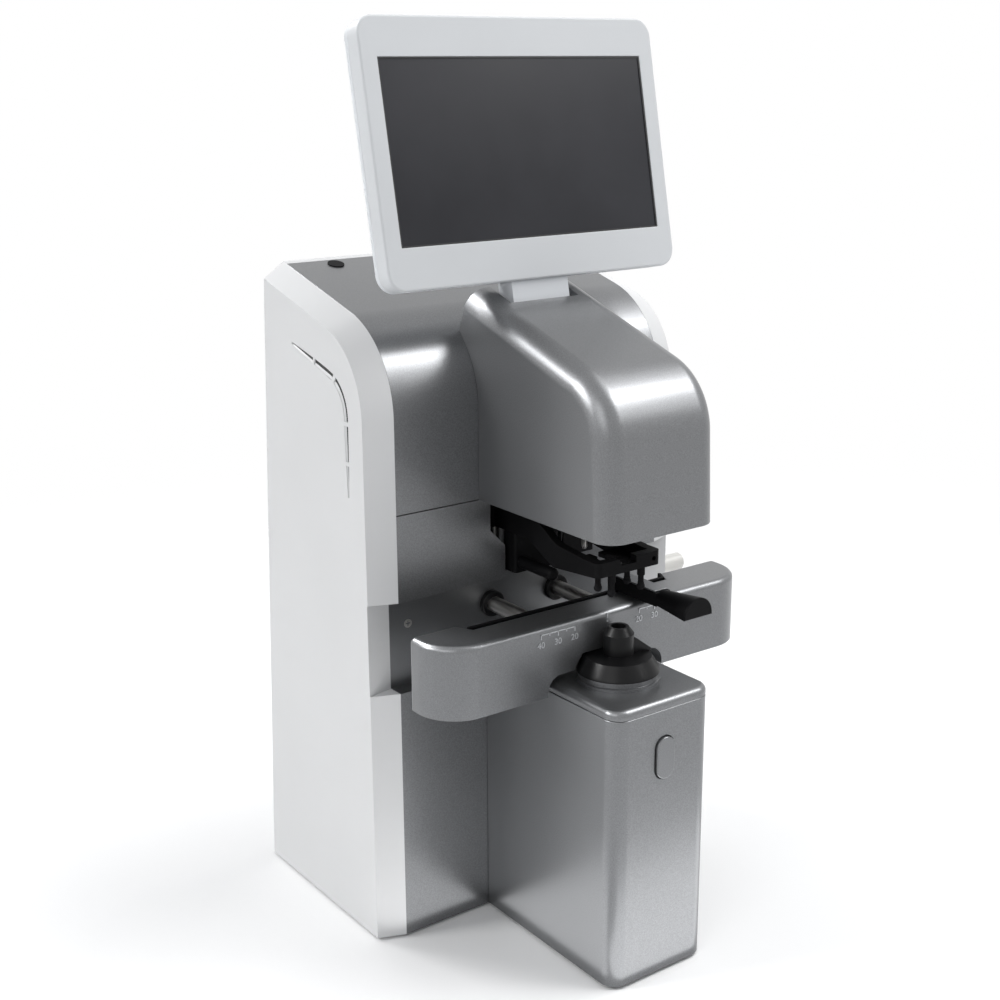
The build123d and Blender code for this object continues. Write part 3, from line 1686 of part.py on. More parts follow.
# Screen: bezel, panel, back shell with its neck and hinge barrel
screen_axis = Axis((0, 0, 0), (0, -cos(screen_tilt), sin(screen_tilt)))
with BuildPart() as screen_bezel:
    with BuildSketch(screen_plane):
        with Locations((0, screen_tall / 2)):
            RectangleRounded(2 * screen_half, screen_tall, screen_corner)
    extrude(amount=-bezel_deep)
    front_rim = screen_bezel.faces().sort_by(screen_axis)[-1]
    fillet(front_rim.edges(), 1.2)
    with BuildSketch(screen_plane):
        with Locations((0, display_low + display_tall / 2)):
            Rectangle(display_wide, display_tall)
    extrude(amount=-display_step, mode=Mode.SUBTRACT)
    with BuildSketch(screen_plane.offset(-display_step)):
        with Locations((0, display_low + display_tall / 2)):
            Rectangle(lcd_wide + 2 * fit_gap, lcd_tall + 2 * fit_gap)
    extrude(amount=-bezel_deep, mode=Mode.SUBTRACT)
save(screen_bezel, "screen_bezel")

with BuildPart() as lcd_panel:
    with BuildSketch(screen_plane.offset(-display_step)):
        with Locations((0, display_low + display_tall / 2)):
            Rectangle(lcd_wide, lcd_tall)
    extrude(amount=-lcd_thick)
save(lcd_panel, "lcd_panel")

with BuildPart() as screen_shell:
    with BuildSketch(screen_plane.offset(-bezel_deep)):
        with Locations((0, screen_tall / 2)):
            RectangleRounded(2 * screen_half, screen_tall, screen_corner)
    extrude(amount=-(screen_deep - bezel_deep))
    back_rim = screen_shell.faces().sort_by(screen_axis)[0]
    fillet(back_rim.edges(), 3.0)
    with BuildSketch(screen_plane.offset(-bezel_deep)):
        with Locations((0, screen_tall / 2)):
            RectangleRounded(
                2 * screen_half - 2 * shell_wall - 4, screen_tall - 2 * shell_wall - 4, screen_corner - 4
            )
    extrude(amount=-(screen_deep - bezel_deep - shell_wall), mode=Mode.SUBTRACT)
    with BuildSketch(screen_plane.offset(-neck_front)):
        Rectangle(2 * neck_half, pivot_down, align=(Align.CENTER, Align.MAX))
    extrude(amount=-neck_thick)
    with BuildSketch(screen_plane.offset(-bezel_deep)):
        Rectangle(2 * neck_half, 6, align=(Align.CENTER, Align.CENTER))
    extrude(amount=-(neck_front + neck_thick - bezel_deep))
    with BuildSketch(Plane.YZ.offset(-barrel_half)):
        with Locations((pivot_y, pivot_z)):
            Circle(barrel_radius)
    extrude(amount=2 * barrel_half)
    with BuildSketch(Plane.YZ.offset(-barrel_half - 1)):
        with Locations((pivot_y, pivot_z)):
            Circle(hinge_pin_radius + running_gap)
    extrude(amount=2 * barrel_half + 2, mode=Mode.SUBTRACT)
save(screen_shell, "screen_shell")

# Hinge ears reach forward from the chassis through the window in the upper cover
ear_inner = barrel_half + ear_gap
ear_outer = ear_inner + ear_thick
ear_rise = ear_foot_high - ear_foot_low
with BuildPart() as screen_ears:
    for side in (-1, 1):
        with BuildSketch(Plane.YZ.offset(side * ear_inner)):
            with Locations((pivot_y, pivot_z)):
                Circle(ear_radius)
            with Locations((chassis_y, ear_foot_low)):
                Rectangle(7, ear_rise, align=(Align.MAX, Align.MIN))
            make_hull()
            with Locations((pivot_y, pivot_z)):
                Circle(hinge_pin_radius + 0.02, mode=Mode.SUBTRACT)
        extrude(amount=side * ear_thick)
        with BuildSketch(Plane.XZ.offset(-chassis_y)):
            with Locations((side * (ear_inner + ear_flange / 2), ear_foot_low)):
                Rectangle(ear_flange, ear_rise, align=(Align.CENTER, Align.MIN))
        extrude(amount=ear_thick)
save(screen_ears, "screen_ears")

with BuildPart() as hinge_pin:
    with BuildSketch(Plane.YZ.offset(-ear_outer - 1)):
        with Locations((pivot_y, pivot_z)):
            Circle(hinge_pin_radius)
    extrude(amount=2 * (ear_outer + 1))
save(hinge_pin, "hinge_pin")

print("screen pivot", round(pivot_y, 3), round(pivot_z, 3))
print("rocker pivot", [round(value, 3) for value in rocker_pivot])
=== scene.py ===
from math import cos, pi, radians, sin, tan

import bmesh
import bpy
from mathutils import Matrix, Vector


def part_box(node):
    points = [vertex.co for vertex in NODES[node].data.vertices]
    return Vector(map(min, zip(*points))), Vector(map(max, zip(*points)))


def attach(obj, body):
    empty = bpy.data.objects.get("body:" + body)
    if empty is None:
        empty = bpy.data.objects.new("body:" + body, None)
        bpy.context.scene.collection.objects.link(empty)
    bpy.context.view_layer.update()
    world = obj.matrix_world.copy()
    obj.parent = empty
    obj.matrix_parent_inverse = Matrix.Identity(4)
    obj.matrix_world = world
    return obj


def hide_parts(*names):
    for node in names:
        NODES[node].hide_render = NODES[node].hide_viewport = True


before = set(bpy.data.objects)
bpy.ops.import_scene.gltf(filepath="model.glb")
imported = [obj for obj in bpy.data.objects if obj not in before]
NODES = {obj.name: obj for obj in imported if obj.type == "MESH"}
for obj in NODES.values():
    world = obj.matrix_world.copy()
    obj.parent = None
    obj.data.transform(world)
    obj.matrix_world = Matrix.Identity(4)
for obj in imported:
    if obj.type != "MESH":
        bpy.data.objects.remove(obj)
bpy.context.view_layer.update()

bl_info = {
    "name": "Auto lensmeter",
    "version": (1, 0, 0),
    "blender": (4, 5, 0),
    "location": "3D View > Sidebar > Lensmeter",
    "description": "Dresses the packed lensmeter with finishes, edges, marks and screws",
    "category": "Object",
}

# The line of the vent slits: up the front of a side panel, round its bend and along its top
VENT_LINE = 0.0198
VENT_RADIUS = 0.0205
VENT_BEND_Z = 0.2707
VENT_RISE = 0.0385
VENT_LENGTH = 0.1016
VENT_SLOPE = radians(15.3)
VENT_STARTS = (0.0, 0.0176, 0.0372, 0.0612, 0.0804)
VENT_ENDS = (0.0158, 0.0352, 0.059, 0.0788, VENT_LENGTH)
VENT_WIDE = 0.0019
VENT_NARROW = 0.0006
VENT_OPEN = 0.25
LIP_REACH = -0.35
LIP_DEPTH = 0.0002
# The near-black sheets behind the slits lie this shallow: partly a vent mesh, partly painted shade for
# the dark deep inside the slits
SHEET_DEPTH = 0.0007

# A black plate on the wall above the table channel, beside the opening of the presser: painted shade
# for the dark inside the opening
SHADE_PLATE_LEFT = 0.0185
SHADE_PLATE_RIGHT = 0.038
SHADE_PLATE_BOTTOM = 0.186
SHADE_PLATE_TOP = 0.2242
SHADE_PLATE_GAP = 0.0001
SHADE_PLATE_THICK = 0.0008

# The window of the display
WINDOW_WIDE = 0.154
WINDOW_TALL = 0.085
BORDER_RISE = 0.0004

# The scale on the front of the table bar, measured down from its top edge
SCALE_DROP = 0.0032
NUMBER_DROP = 0.0087
CENTRE_DROP = 0.0012
TICK_STROKES = 5
SHORT_TICK = 0.6
SCALE_TENS = (-4, -3, -2, 2, 3, 4)
SCALE_TICKS = 5

# Cover screws: the rear cover leans, the base plate is flat and the channel has one small screw
REAR_LEAN = radians(3.6)
REAR_SCREW_REACH = 0.072
REAR_SCREW_ROWS = (0.016, 0.16, 0.318)
BASE_SCREW_PLACES = ((-0.03, 0.085), (0.03, 0.085), (-0.03, 0.165), (0.03, 0.165), (0, 0.03))
COVER_SCREW_HEIGHT = 0.0012
COVER_SCREW_SLOT = 0.3
CHANNEL_WALL = 0.076
CHANNEL_SCREW_PLACE = (-0.0712, 0.1664, 0)
CHANNEL_SCREW = {"Radius": 0.0022, "Height": 0.0006, "Slot": 0.0007}
HEAD_SIDES = 24
SLOT_REACH = 1.3
SLOT_RISE = 0.45

# Where the noise textures start and stop to count
NOISE_LOW = 0.3
NOISE_HIGH = 0.7
FLAKE_LOW = 0.34
FLAKE_HIGH = 0.66

# Mesh work
WELD_GAP = 0.00001
FLAT_ANGLE = radians(0.6)
SHARP_EDGE = 0.0002
FINE_EDGE = 0.0003
SMALL_EDGE = 0.0004
MOULDED_EDGE = 0.0005
FOLDED_EDGE = 0.0006
BUTTON_EDGE = 0.0007
PANEL_EDGE = 0.0008
EDGE_ANGLE = 32.0
LOFT_ANGLE = 40.0
EDGE_SEGMENTS = 3
FACE_WEIGHT = 100

# Studio
CENTRE = (0, 0.05, 0.2)
UPPER_CENTRE = (0, 0.05, 0.25)
HEAD_CENTRE = (0, 0, 0.3)
SENSOR_WIDTH = 36.0
CAMERA_NEAR = 0.01
FLOOR_COLOUR = (0.9, 0.9, 0.9, 1)
FLOOR_ROUGHNESS = 0.8
FADE_START = 0.25
FADE_END = 0.95
STUDIO_COLOUR = (0.95, 0.97, 1, 1)
WHITE = (1, 1, 1, 1)


# Sizes and colours that a user would change
class LensmeterPaint(bpy.types.PropertyGroup):
    """Colours and finishes of the visible pieces"""

    white: bpy.props.FloatVectorProperty(
        name="White panels",
        description="Colour of the side panels and the rear cover",
        subtype="COLOR",
        size=3,
        min=0.0,
        max=1.0,
        default=(0.63, 0.633, 0.637),
    )
    silver: bpy.props.FloatVectorProperty(
        name="Silver paint",
        description="Colour of the metallic paint",
        subtype="COLOR",
        size=3,
        min=0.0,
        max=1.0,
        default=(0.18, 0.184, 0.19),
    )
    silver_roughness: bpy.props.FloatProperty(
        name="Silver roughness",
        description="How far the metallic paint spreads a reflection",
        default=0.33,
        min=0.0,
        max=1.0,
        subtype="FACTOR",
    )
    grain: bpy.props.FloatProperty(
        name="Paint grain",
        description="Size of one flake cell of the metallic paint",
        default=0.0004,
        min=0.0001,
        unit="LENGTH",
    )
    bezel: bpy.props.FloatVectorProperty(
        name="Screen frame",
        description="Colour of the frame round the display",
        subtype="COLOR",
        size=3,
        min=0.0,
        max=1.0,
        default=(0.615, 0.63, 0.645),
    )
    black: bpy.props.FloatVectorProperty(
        name="Black plastic",
        description="Colour of the moulded black pieces",
        subtype="COLOR",
        size=3,
        min=0.0,
        max=1.0,
        default=(0.005, 0.005, 0.0055),
    )
    screen_back: bpy.props.FloatVectorProperty(
        name="Screen back",
        description="Colour of the shell behind the display",
        subtype="COLOR",
        size=3,
        min=0.0,
        max=1.0,
        default=(0.68, 0.7, 0.725),
    )
    display: bpy.props.FloatVectorProperty(
        name="Display",
        description="Colour of the dark display",
        subtype="COLOR",
        size=3,
        min=0.0,
        max=1.0,
        default=(0.026, 0.0265, 0.031),
    )
    knob: bpy.props.FloatVectorProperty(
        name="Side knob",
        description="Colour of the table's side knob",
        subtype="COLOR",
        size=3,
        min=0.0,
        max=1.0,
        default=(0.62, 0.61, 0.58),
    )


class LensmeterSizes(bpy.types.PropertyGroup):
    """Sizes of the details that Blender adds"""

    screw_radius: bpy.props.FloatProperty(
        name="Screw head radius",
        description="Radius of the cover screws",
        default=0.0028,
        min=0.0005,
        unit="LENGTH",
    )
    mark_height: bpy.props.FloatProperty(
        name="Scale number height",
        description="Height of the numbers on the lens table",
        default=0.0044,
        min=0.0005,
        unit="LENGTH",
    )
    mark_stroke: bpy.props.FloatProperty(
        name="Scale stroke",
        description="Width of a tick of the scale",
        default=0.0005,
        min=0.0001,
        unit="LENGTH",
    )
    mark_relief: bpy.props.FloatProperty(
        name="Scale relief",
        description="How far the scale stands proud of the lens table",
        default=0.0003,
        min=0.0,
        unit="LENGTH",
    )
    scale_ten: bpy.props.FloatProperty(
        name="Scale spacing",
        description="Distance between two numbers of the scale",
        default=0.0101,
        min=0.001,
        unit="LENGTH",
    )
    vent_cell: bpy.props.FloatProperty(
        name="Vent mesh cell",
        description="Pitch of the square holes in the sheet behind the vents",
        default=0.0009,
        min=0.0005,
        unit="LENGTH",
    )
    border: bpy.props.FloatProperty(
        name="Display border",
        description="Width of the black border round the display",
        default=0.0008,
        min=0.0001,
        unit="LENGTH",
    )


class LensmeterStage(bpy.types.PropertyGroup):
    """Camera, lights and floor"""

    camera_place: bpy.props.FloatVectorProperty(
        name="Camera place",
        description="Where the camera stands",
        subtype="XYZ",
        unit="LENGTH",
        size=3,
        default=(-0.44825, -0.52, 0.43045),
    )
    azimuth: bpy.props.FloatProperty(
        name="Azimuth",
        description="Heading of the camera, 0 looks along +Y",
        default=radians(-36.04),
        subtype="ANGLE",
    )
    elevation: bpy.props.FloatProperty(
        name="Elevation",
        description="How far the camera looks down",
        default=radians(15.955),
        subtype="ANGLE",
    )
    roll: bpy.props.FloatProperty(
        name="Roll",
        description="Turn of the camera about its own axis",
        default=radians(-0.331),
        subtype="ANGLE",
    )
    studio_strength: bpy.props.FloatProperty(
        name="Studio light",
        description="Strength of the soft light from all round",
        default=0.42,
        min=0.0,
    )
    floor_reach: bpy.props.FloatProperty(
        name="Floor reach",
        description="Half the side of the floor, which fades out towards its edge",
        default=1.1,
        min=0.1,
        unit="LENGTH",
    )
    lens: bpy.props.FloatProperty(
        name="Focal length",
        description="Focal length on a 36 mm sensor",
        default=54.752,
        min=1.0,
        unit="CAMERA",
    )


# Material helpers
def fresh_material(name):
    material = bpy.data.materials.new(name)
    material.use_nodes = True
    tree = material.node_tree
    tree.nodes.clear()
    shader = tree.nodes.new("ShaderNodeBsdfPrincipled")
    output = tree.nodes.new("ShaderNodeOutputMaterial")
    tree.links.new(shader.outputs["BSDF"], output.inputs["Surface"])
    return material, tree, shader


def place_noise(tree, cell, detail=2.0):
    coordinates = tree.nodes.new("ShaderNodeTexCoord")
    noise = tree.nodes.new("ShaderNodeTexNoise")
    noise.inputs["Scale"].default_value = 1 / cell
    noise.inputs["Detail"].default_value = detail
    tree.links.new(coordinates.outputs["Object"], noise.inputs["Vector"])
    return noise


def tint_from(tree, shader, source, dark, light, low=NOISE_LOW, high=NOISE_HIGH):
    ramp = tree.nodes.new("ShaderNodeValToRGB")
    ramp.color_ramp.elements[0].position = low
    ramp.color_ramp.elements[0].color = (*dark, 1)
    ramp.color_ramp.elements[1].position = high
    ramp.color_ramp.elements[1].color = (*light, 1)
    tree.links.new(source.outputs["Fac"], ramp.inputs["Fac"])
    tree.links.new(ramp.outputs["Color"], shader.inputs["Base Color"])


def roughness_from(tree, shader, source, low, high):
    spread = tree.nodes.new("ShaderNodeMapRange")
    spread.inputs["From Min"].default_value = NOISE_LOW
    spread.inputs["From Max"].default_value = NOISE_HIGH
    spread.inputs["To Min"].default_value = low
    spread.inputs["To Max"].default_value = high
    tree.links.new(source.outputs["Fac"], spread.inputs["Value"])
    tree.links.new(spread.outputs["Result"], shader.inputs["Roughness"])


def bump_from(tree, shader, source, strength, distance):
    bump = tree.nodes.new("ShaderNodeBump")
    bump.inputs["Strength"].default_value = strength
    bump.inputs["Distance"].default_value = distance
    tree.links.new(source.outputs["Fac"], bump.inputs["Height"])
    tree.links.new(bump.outputs["Normal"], shader.inputs["Normal"])


def scaled(colour, share):
    return tuple(min(1.0, part * share) for part in colour)


def moulded(name, colour, roughness, cell=0.0008, shade=0.02, relief=0.00001, gloss=0.5):
    cloud_cell = 0.05
    cloud_detail = 3.0
    wear = 0.04
    bump_strength = 0.4
    material, tree, shader = fresh_material(name)
    shader.inputs["Specular IOR Level"].default_value = gloss
    grain = place_noise(tree, cell)
    cloud = place_noise(tree, cloud_cell, cloud_detail)
    tint_from(tree, shader, cloud, scaled(colour, 1 - shade), scaled(colour, 1 + shade / 2))
    roughness_from(tree, shader, cloud, roughness - wear, roughness + wear)
    bump_from(tree, shader, grain, bump_strength, relief)
    return material


def metallic_paint(name, colour, roughness, grain):
    contrast = 0.14
    smoother = 0.03
    rougher = 0.05
    bump_strength = 0.2
    flake_rise = 0.04
    material, tree, shader = fresh_material(name)
    flake = place_noise(tree, grain, 1.0)
    dark = scaled(colour, 1 - contrast)
    light = scaled(colour, 1 + contrast)
    tint_from(tree, shader, flake, dark, light, FLAKE_LOW, FLAKE_HIGH)
    shader.inputs["Metallic"].default_value = 0.8
    roughness_from(tree, shader, flake, roughness - smoother, roughness + rougher)
    bump_from(tree, shader, flake, bump_strength, grain * flake_rise)
    shader.inputs["Coat Weight"].default_value = 0.12
    shader.inputs["Coat Roughness"].default_value = 0.25
    return material


def turned_metal(name, colour, roughness, cell=0.0004):
    stroke_scale = (1, 0.05, 1)
    darkest = 0.92
    lightest = 1.05
    smoother = 0.02
    rougher = 0.03
    material, tree, shader = fresh_material(name)
    coordinates = tree.nodes.new("ShaderNodeTexCoord")
    stretch = tree.nodes.new("ShaderNodeMapping")
    stretch.inputs["Scale"].default_value = stroke_scale
    noise = tree.nodes.new("ShaderNodeTexNoise")
    noise.inputs["Scale"].default_value = 1 / cell
    tree.links.new(coordinates.outputs["Object"], stretch.inputs["Vector"])
    tree.links.new(stretch.outputs["Vector"], noise.inputs["Vector"])
    tint_from(tree, shader, noise, scaled(colour, darkest), scaled(colour, lightest))
    shader.inputs["Metallic"].default_value = 1.0
    roughness_from(tree, shader, noise, roughness - smoother, roughness + rougher)
    return material


def clear_glass(name):
    haze_cell = 0.004
    clearest = 0.01
    haziest = 0.04
    material, tree, shader = fresh_material(name)
    haze = place_noise(tree, haze_cell)
    shader.inputs["Base Color"].default_value = (0.95, 0.98, 0.98, 1)
    shader.inputs["Transmission Weight"].default_value = 1.0
    shader.inputs["IOR"].default_value = 1.5
    roughness_from(tree, shader, haze, clearest, haziest)
    return material


def white_panel(label, paint):
    return moulded(label, tuple(paint.white), roughness=0.5, relief=0.000015)


def silver_paint(label, paint):
    return metallic_paint(label, tuple(paint.silver), paint.silver_roughness, paint.grain)


def highlit_silver_mark(label, paint):
    # The marks are 2.6 times lighter than the silver paint: a painted highlight for the light caught by
    # their raised edges
    lightening = 2.6
    colour = scaled(tuple(paint.silver), lightening)
    return metallic_paint(label, colour, paint.silver_roughness, paint.grain)


def bezel_plastic(label, paint):
    return moulded(label, tuple(paint.bezel), roughness=0.4, gloss=0.3)


def bezel_rim(label, paint):
    return moulded(label, tuple(paint.screen_back), roughness=0.3)


def display(label, paint):
    return moulded(
        label, tuple(paint.display), roughness=0.22, cell=0.0003, shade=0.15, relief=0.000004, gloss=0.2
    )


def black_plastic(label, paint):
    return moulded(
        label, tuple(paint.black), roughness=0.34, cell=0.0005, shade=0.2, relief=0.00002, gloss=0.18
    )


def dull_black(label, paint):
    return moulded(
        label, tuple(paint.black), roughness=0.5, cell=0.0005, shade=0.2, relief=0.00002, gloss=0.06
    )


def black_rubber(label, paint):
    lightening = 1.6
    colour = scaled(tuple(paint.black), lightening)
    return moulded(label, colour, roughness=0.7, cell=0.0004, shade=0.2, relief=0.00003, gloss=0.08)


def cream_plastic(label, paint):
    return moulded(label, tuple(paint.knob), roughness=0.35, shade=0.03)


def ground_steel(label, paint):
    return turned_metal(label, (0.55, 0.54, 0.52), roughness=0.32)


def plated_steel(label, paint):
    return turned_metal(label, (0.55, 0.56, 0.57), roughness=0.34, cell=0.002)


def machined_aluminium(label, paint):
    return turned_metal(label, (0.7, 0.71, 0.72), roughness=0.3, cell=0.0006)


def turned_brass(label, paint):
    return turned_metal(label, (0.72, 0.52, 0.22), roughness=0.28)


def circuit_green(label, paint):
    return moulded(label, (0.015, 0.12, 0.05), roughness=0.3, cell=0.0006, shade=0.2)


# Near black, used for the vent sheets and the display border: partly their own black, partly painted
# shade
def black_and_painted_shade(label, paint):
    return moulded(label, (0.006, 0.006, 0.007), roughness=0.6, cell=0.0005, shade=0.2)


def cover_glass(label, paint):
    return clear_glass(label)


MAKERS = (
    white_panel, silver_paint, highlit_silver_mark, bezel_plastic, bezel_rim, display, black_plastic,
    dull_black, black_rubber, cream_plastic, ground_steel, plated_steel, machined_aluminium,
    turned_brass, circuit_green, black_and_painted_shade, cover_glass,
)


def finish(name):
    label = name + "_finish"
    if label in bpy.data.materials:
        return bpy.data.materials[label]
    maker = next(maker for maker in MAKERS if maker.__name__ == name)
    return maker(label, bpy.context.scene.lensmeter_paint)


# Mesh helpers
def mesh_piece(name, mesh, body, material_name):
    piece = bpy.data.objects.new(name, mesh)
    bpy.context.scene.collection.objects.link(piece)
    piece.data.materials.clear()
    piece.data.materials.append(finish(material_name))
    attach(piece, body)


def apply_modifiers(piece):
    depsgraph = bpy.context.evaluated_depsgraph_get()
    mesh = bpy.data.meshes.new_from_object(piece.evaluated_get(depsgraph))
    piece.modifiers.clear()
    piece.data = mesh


def merged_copy(node):
    mesh = NODES[node].data.copy()
    work = bmesh.new()
    work.from_mesh(mesh)
    bmesh.ops.remove_doubles(work, verts=work.verts, dist=WELD_GAP)
    bmesh.ops.dissolve_limit(
        work, angle_limit=FLAT_ANGLE, verts=work.verts, edges=work.edges, delimit={"NORMAL"}
    )
    work.to_mesh(mesh)
    work.free()
    mesh.materials.clear()
    return mesh


def round_edges(piece, width, angle):
    bevel = piece.modifiers.new("Edges", "BEVEL")
    bevel.width = width
    bevel.segments = EDGE_SEGMENTS
    bevel.limit_method = "ANGLE"
    bevel.angle_limit = radians(angle)
    bevel.use_clamp_overlap = True
    for face in piece.data.polygons:
        face.use_smooth = True
    level = piece.modifiers.new("Flat faces", "WEIGHTED_NORMAL")
    level.mode = "FACE_AREA"
    level.weight = FACE_WEIGHT
    level.keep_sharp = True


def dressed(node, name, body, material_name, width, angle=EDGE_ANGLE):
    piece = bpy.data.objects.new(name, merged_copy(node))
    bpy.context.scene.collection.objects.link(piece)
    piece.data.materials.append(finish(material_name))
    round_edges(piece, width, angle)
    apply_modifiers(piece)
    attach(piece, body)
    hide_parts(node)


def paint_nodes(finishes):
    for node, material_name in finishes.items():
        target = NODES[node]
        if not target.material_slots:
            target.data.materials.append(None)
        for spot in target.material_slots:
            spot.material = finish(material_name)


def vent_place(x, front, run, side):
    reach = VENT_RADIUS + side
    bend_y = front + VENT_LINE + VENT_RADIUS
    turned = (run - VENT_RISE) / VENT_RADIUS
    bend = pi / 2 - VENT_SLOPE
    if turned < 0:
        return x, bend_y - reach, VENT_BEND_Z - VENT_RISE + run
    if turned < bend:
        return x, bend_y - reach * cos(turned), VENT_BEND_Z + reach * sin(turned)
    rest = run - VENT_RISE - VENT_RADIUS * bend
    y = bend_y - reach * sin(VENT_SLOPE) + rest * cos(VENT_SLOPE)
    return x, y, VENT_BEND_Z + reach * cos(VENT_SLOPE) + rest * sin(VENT_SLOPE)


def vent_strip(side, outer, front, cell, near, far):
    points = []
    faces = []
    for first, last in zip(VENT_STARTS, VENT_ENDS):
        rows = int((last - first) / cell) + 1
        for row in range(rows + 1):
            run = first + (last - first) * row / rows
            share = 2 * run / VENT_LENGTH - 1
            half = VENT_NARROW + (VENT_WIDE - VENT_NARROW) * (1 - share**2)
            if row:
                corner = len(points)
                face = (corner - 2, corner - 1, corner + 1, corner)
                faces.append(face if side < 0 else face[::-1])
            for reach, depth in (near, far):
                points.append(vent_place(outer - side * depth, front, run, reach * half))
    return points, faces


# Geometry node helpers
def new_tree(name, inputs):
    tree = bpy.data.node_groups.new(name, "GeometryNodeTree")
    tree.interface.new_socket("Geometry", in_out="OUTPUT", socket_type="NodeSocketGeometry")
    tree.interface.new_socket("Geometry", in_out="INPUT", socket_type="NodeSocketGeometry")
    for label, kind in inputs:
        tree.interface.new_socket(label, in_out="INPUT", socket_type="NodeSocket" + kind)
    entry = tree.nodes.new("NodeGroupInput")
    return tree, entry


def end_tree(tree, entry, geometry):
    realize = tree.nodes.new("GeometryNodeRealizeInstances")
    coat = tree.nodes.new("GeometryNodeSetMaterial")
    leave = tree.nodes.new("NodeGroupOutput")
    tree.links.new(geometry, realize.inputs["Geometry"])
    tree.links.new(realize.outputs["Geometry"], coat.inputs["Geometry"])
    tree.links.new(entry.outputs["Material"], coat.inputs["Material"])
    tree.links.new(coat.outputs["Geometry"], leave.inputs["Geometry"])
    return tree


def grown(name, tree, points, values, place, body, material_name, faces=()):
    mesh = bpy.data.meshes.new(name)
    mesh.from_pydata([tuple(point) for point in points], [], list(faces))
    piece = bpy.data.objects.new(name, mesh)
    bpy.context.scene.collection.objects.link(piece)
    modifier = piece.modifiers.new(name, "NODES")
    modifier.node_group = tree
    values = dict(values, Material=finish(material_name))
    for item in tree.interface.items_tree:
        if item.in_out == "INPUT" and item.name in values:
            modifier[item.identifier] = values[item.name]
    apply_modifiers(piece)
    piece.data.materials.clear()
    piece.data.materials.append(finish(material_name))
    for face in piece.data.polygons:
        face.material_index = 0
    piece.data.transform(place)
    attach(piece, body)


def screw_tree():
    if "Screw heads" in bpy.data.node_groups:
        return bpy.data.node_groups["Screw heads"]
    inputs = [("Radius", "Float"), ("Height", "Float"), ("Slot", "Float"), ("Material", "Material")]
    tree, entry = new_tree("Screw heads", inputs)
    head = tree.nodes.new("GeometryNodeMeshCylinder")
    head.inputs["Vertices"].default_value = HEAD_SIDES
    tree.links.new(entry.outputs["Radius"], head.inputs["Radius"])
    tree.links.new(entry.outputs["Height"], head.inputs["Depth"])
    reach = tree.nodes.new("ShaderNodeMath")
    reach.operation = "MULTIPLY"
    reach.inputs[1].default_value = SLOT_REACH
    tree.links.new(entry.outputs["Radius"], reach.inputs[0])
    cross = tree.nodes.new("GeometryNodeJoinGeometry")
    for turned in (False, True):
        size = tree.nodes.new("ShaderNodeCombineXYZ")
        tree.links.new(reach.outputs[0], size.inputs["Y" if turned else "X"])
        tree.links.new(entry.outputs["Slot"], size.inputs["X" if turned else "Y"])
        tree.links.new(entry.outputs["Height"], size.inputs["Z"])
        bar = tree.nodes.new("GeometryNodeMeshCube")
        tree.links.new(size.outputs["Vector"], bar.inputs["Size"])
        lift = tree.nodes.new("GeometryNodeTransform")
        rise = tree.nodes.new("ShaderNodeCombineXYZ")
        level = tree.nodes.new("ShaderNodeMath")
        level.operation = "MULTIPLY"
        level.inputs[1].default_value = SLOT_RISE
        tree.links.new(entry.outputs["Height"], level.inputs[0])
        tree.links.new(level.outputs[0], rise.inputs["Z"])
        tree.links.new(rise.outputs["Vector"], lift.inputs["Translation"])
        tree.links.new(bar.outputs["Mesh"], lift.inputs["Geometry"])
        tree.links.new(lift.outputs["Geometry"], cross.inputs["Geometry"])
    cut = tree.nodes.new("GeometryNodeMeshBoolean")
    cut.operation = "DIFFERENCE"
    cut.solver = "EXACT"
    cut.inputs["Self Intersection"].default_value = True
    tree.links.new(head.outputs["Mesh"], cut.inputs["Mesh 1"])
    tree.links.new(cross.outputs["Geometry"], cut.inputs["Mesh 2"])
    spread = tree.nodes.new("GeometryNodeInstanceOnPoints")
    tree.links.new(entry.outputs["Geometry"], spread.inputs["Points"])
    tree.links.new(cut.outputs["Mesh"], spread.inputs["Instance"])
    return end_tree(tree, entry, spread.outputs["Instances"])


def comb_tree():
    if "Scale comb" in bpy.data.node_groups:
        return bpy.data.node_groups["Scale comb"]
    inputs = [
        ("Count", "Int"), ("Pitch", "Float"), ("Stroke", "Float"), ("Long", "Float"),
        ("Short", "Float"), ("Relief", "Float"), ("Material", "Material"),
    ]
    tree, entry = new_tree("Scale comb", inputs)
    step = tree.nodes.new("ShaderNodeCombineXYZ")
    tree.links.new(entry.outputs["Pitch"], step.inputs["X"])
    line = tree.nodes.new("GeometryNodeMeshLine")
    tree.links.new(entry.outputs["Count"], line.inputs["Count"])
    tree.links.new(step.outputs["Vector"], line.inputs["Offset"])
    unit = tree.nodes.new("GeometryNodeMeshCube")
    unit.inputs["Size"].default_value = (1, 1, 1)
    hang = tree.nodes.new("GeometryNodeTransform")
    hang.inputs["Translation"].default_value = (0, 0, -0.5)
    tree.links.new(unit.outputs["Mesh"], hang.inputs["Geometry"])
    index = tree.nodes.new("GeometryNodeInputIndex")
    odd = tree.nodes.new("ShaderNodeMath")
    odd.operation = "MODULO"
    odd.inputs[1].default_value = 2
    tree.links.new(index.outputs["Index"], odd.inputs[0])
    length = tree.nodes.new("ShaderNodeMix")
    tree.links.new(odd.outputs[0], length.inputs["Factor"])
    tree.links.new(entry.outputs["Long"], length.inputs["A"])
    tree.links.new(entry.outputs["Short"], length.inputs["B"])
    size = tree.nodes.new("ShaderNodeCombineXYZ")
    tree.links.new(entry.outputs["Stroke"], size.inputs["X"])
    tree.links.new(entry.outputs["Relief"], size.inputs["Y"])
    tree.links.new(length.outputs["Result"], size.inputs["Z"])
    spread = tree.nodes.new("GeometryNodeInstanceOnPoints")
    tree.links.new(line.outputs["Mesh"], spread.inputs["Points"])
    tree.links.new(hang.outputs["Geometry"], spread.inputs["Instance"])
    tree.links.new(size.outputs["Vector"], spread.inputs["Scale"])
    return end_tree(tree, entry, spread.outputs["Instances"])


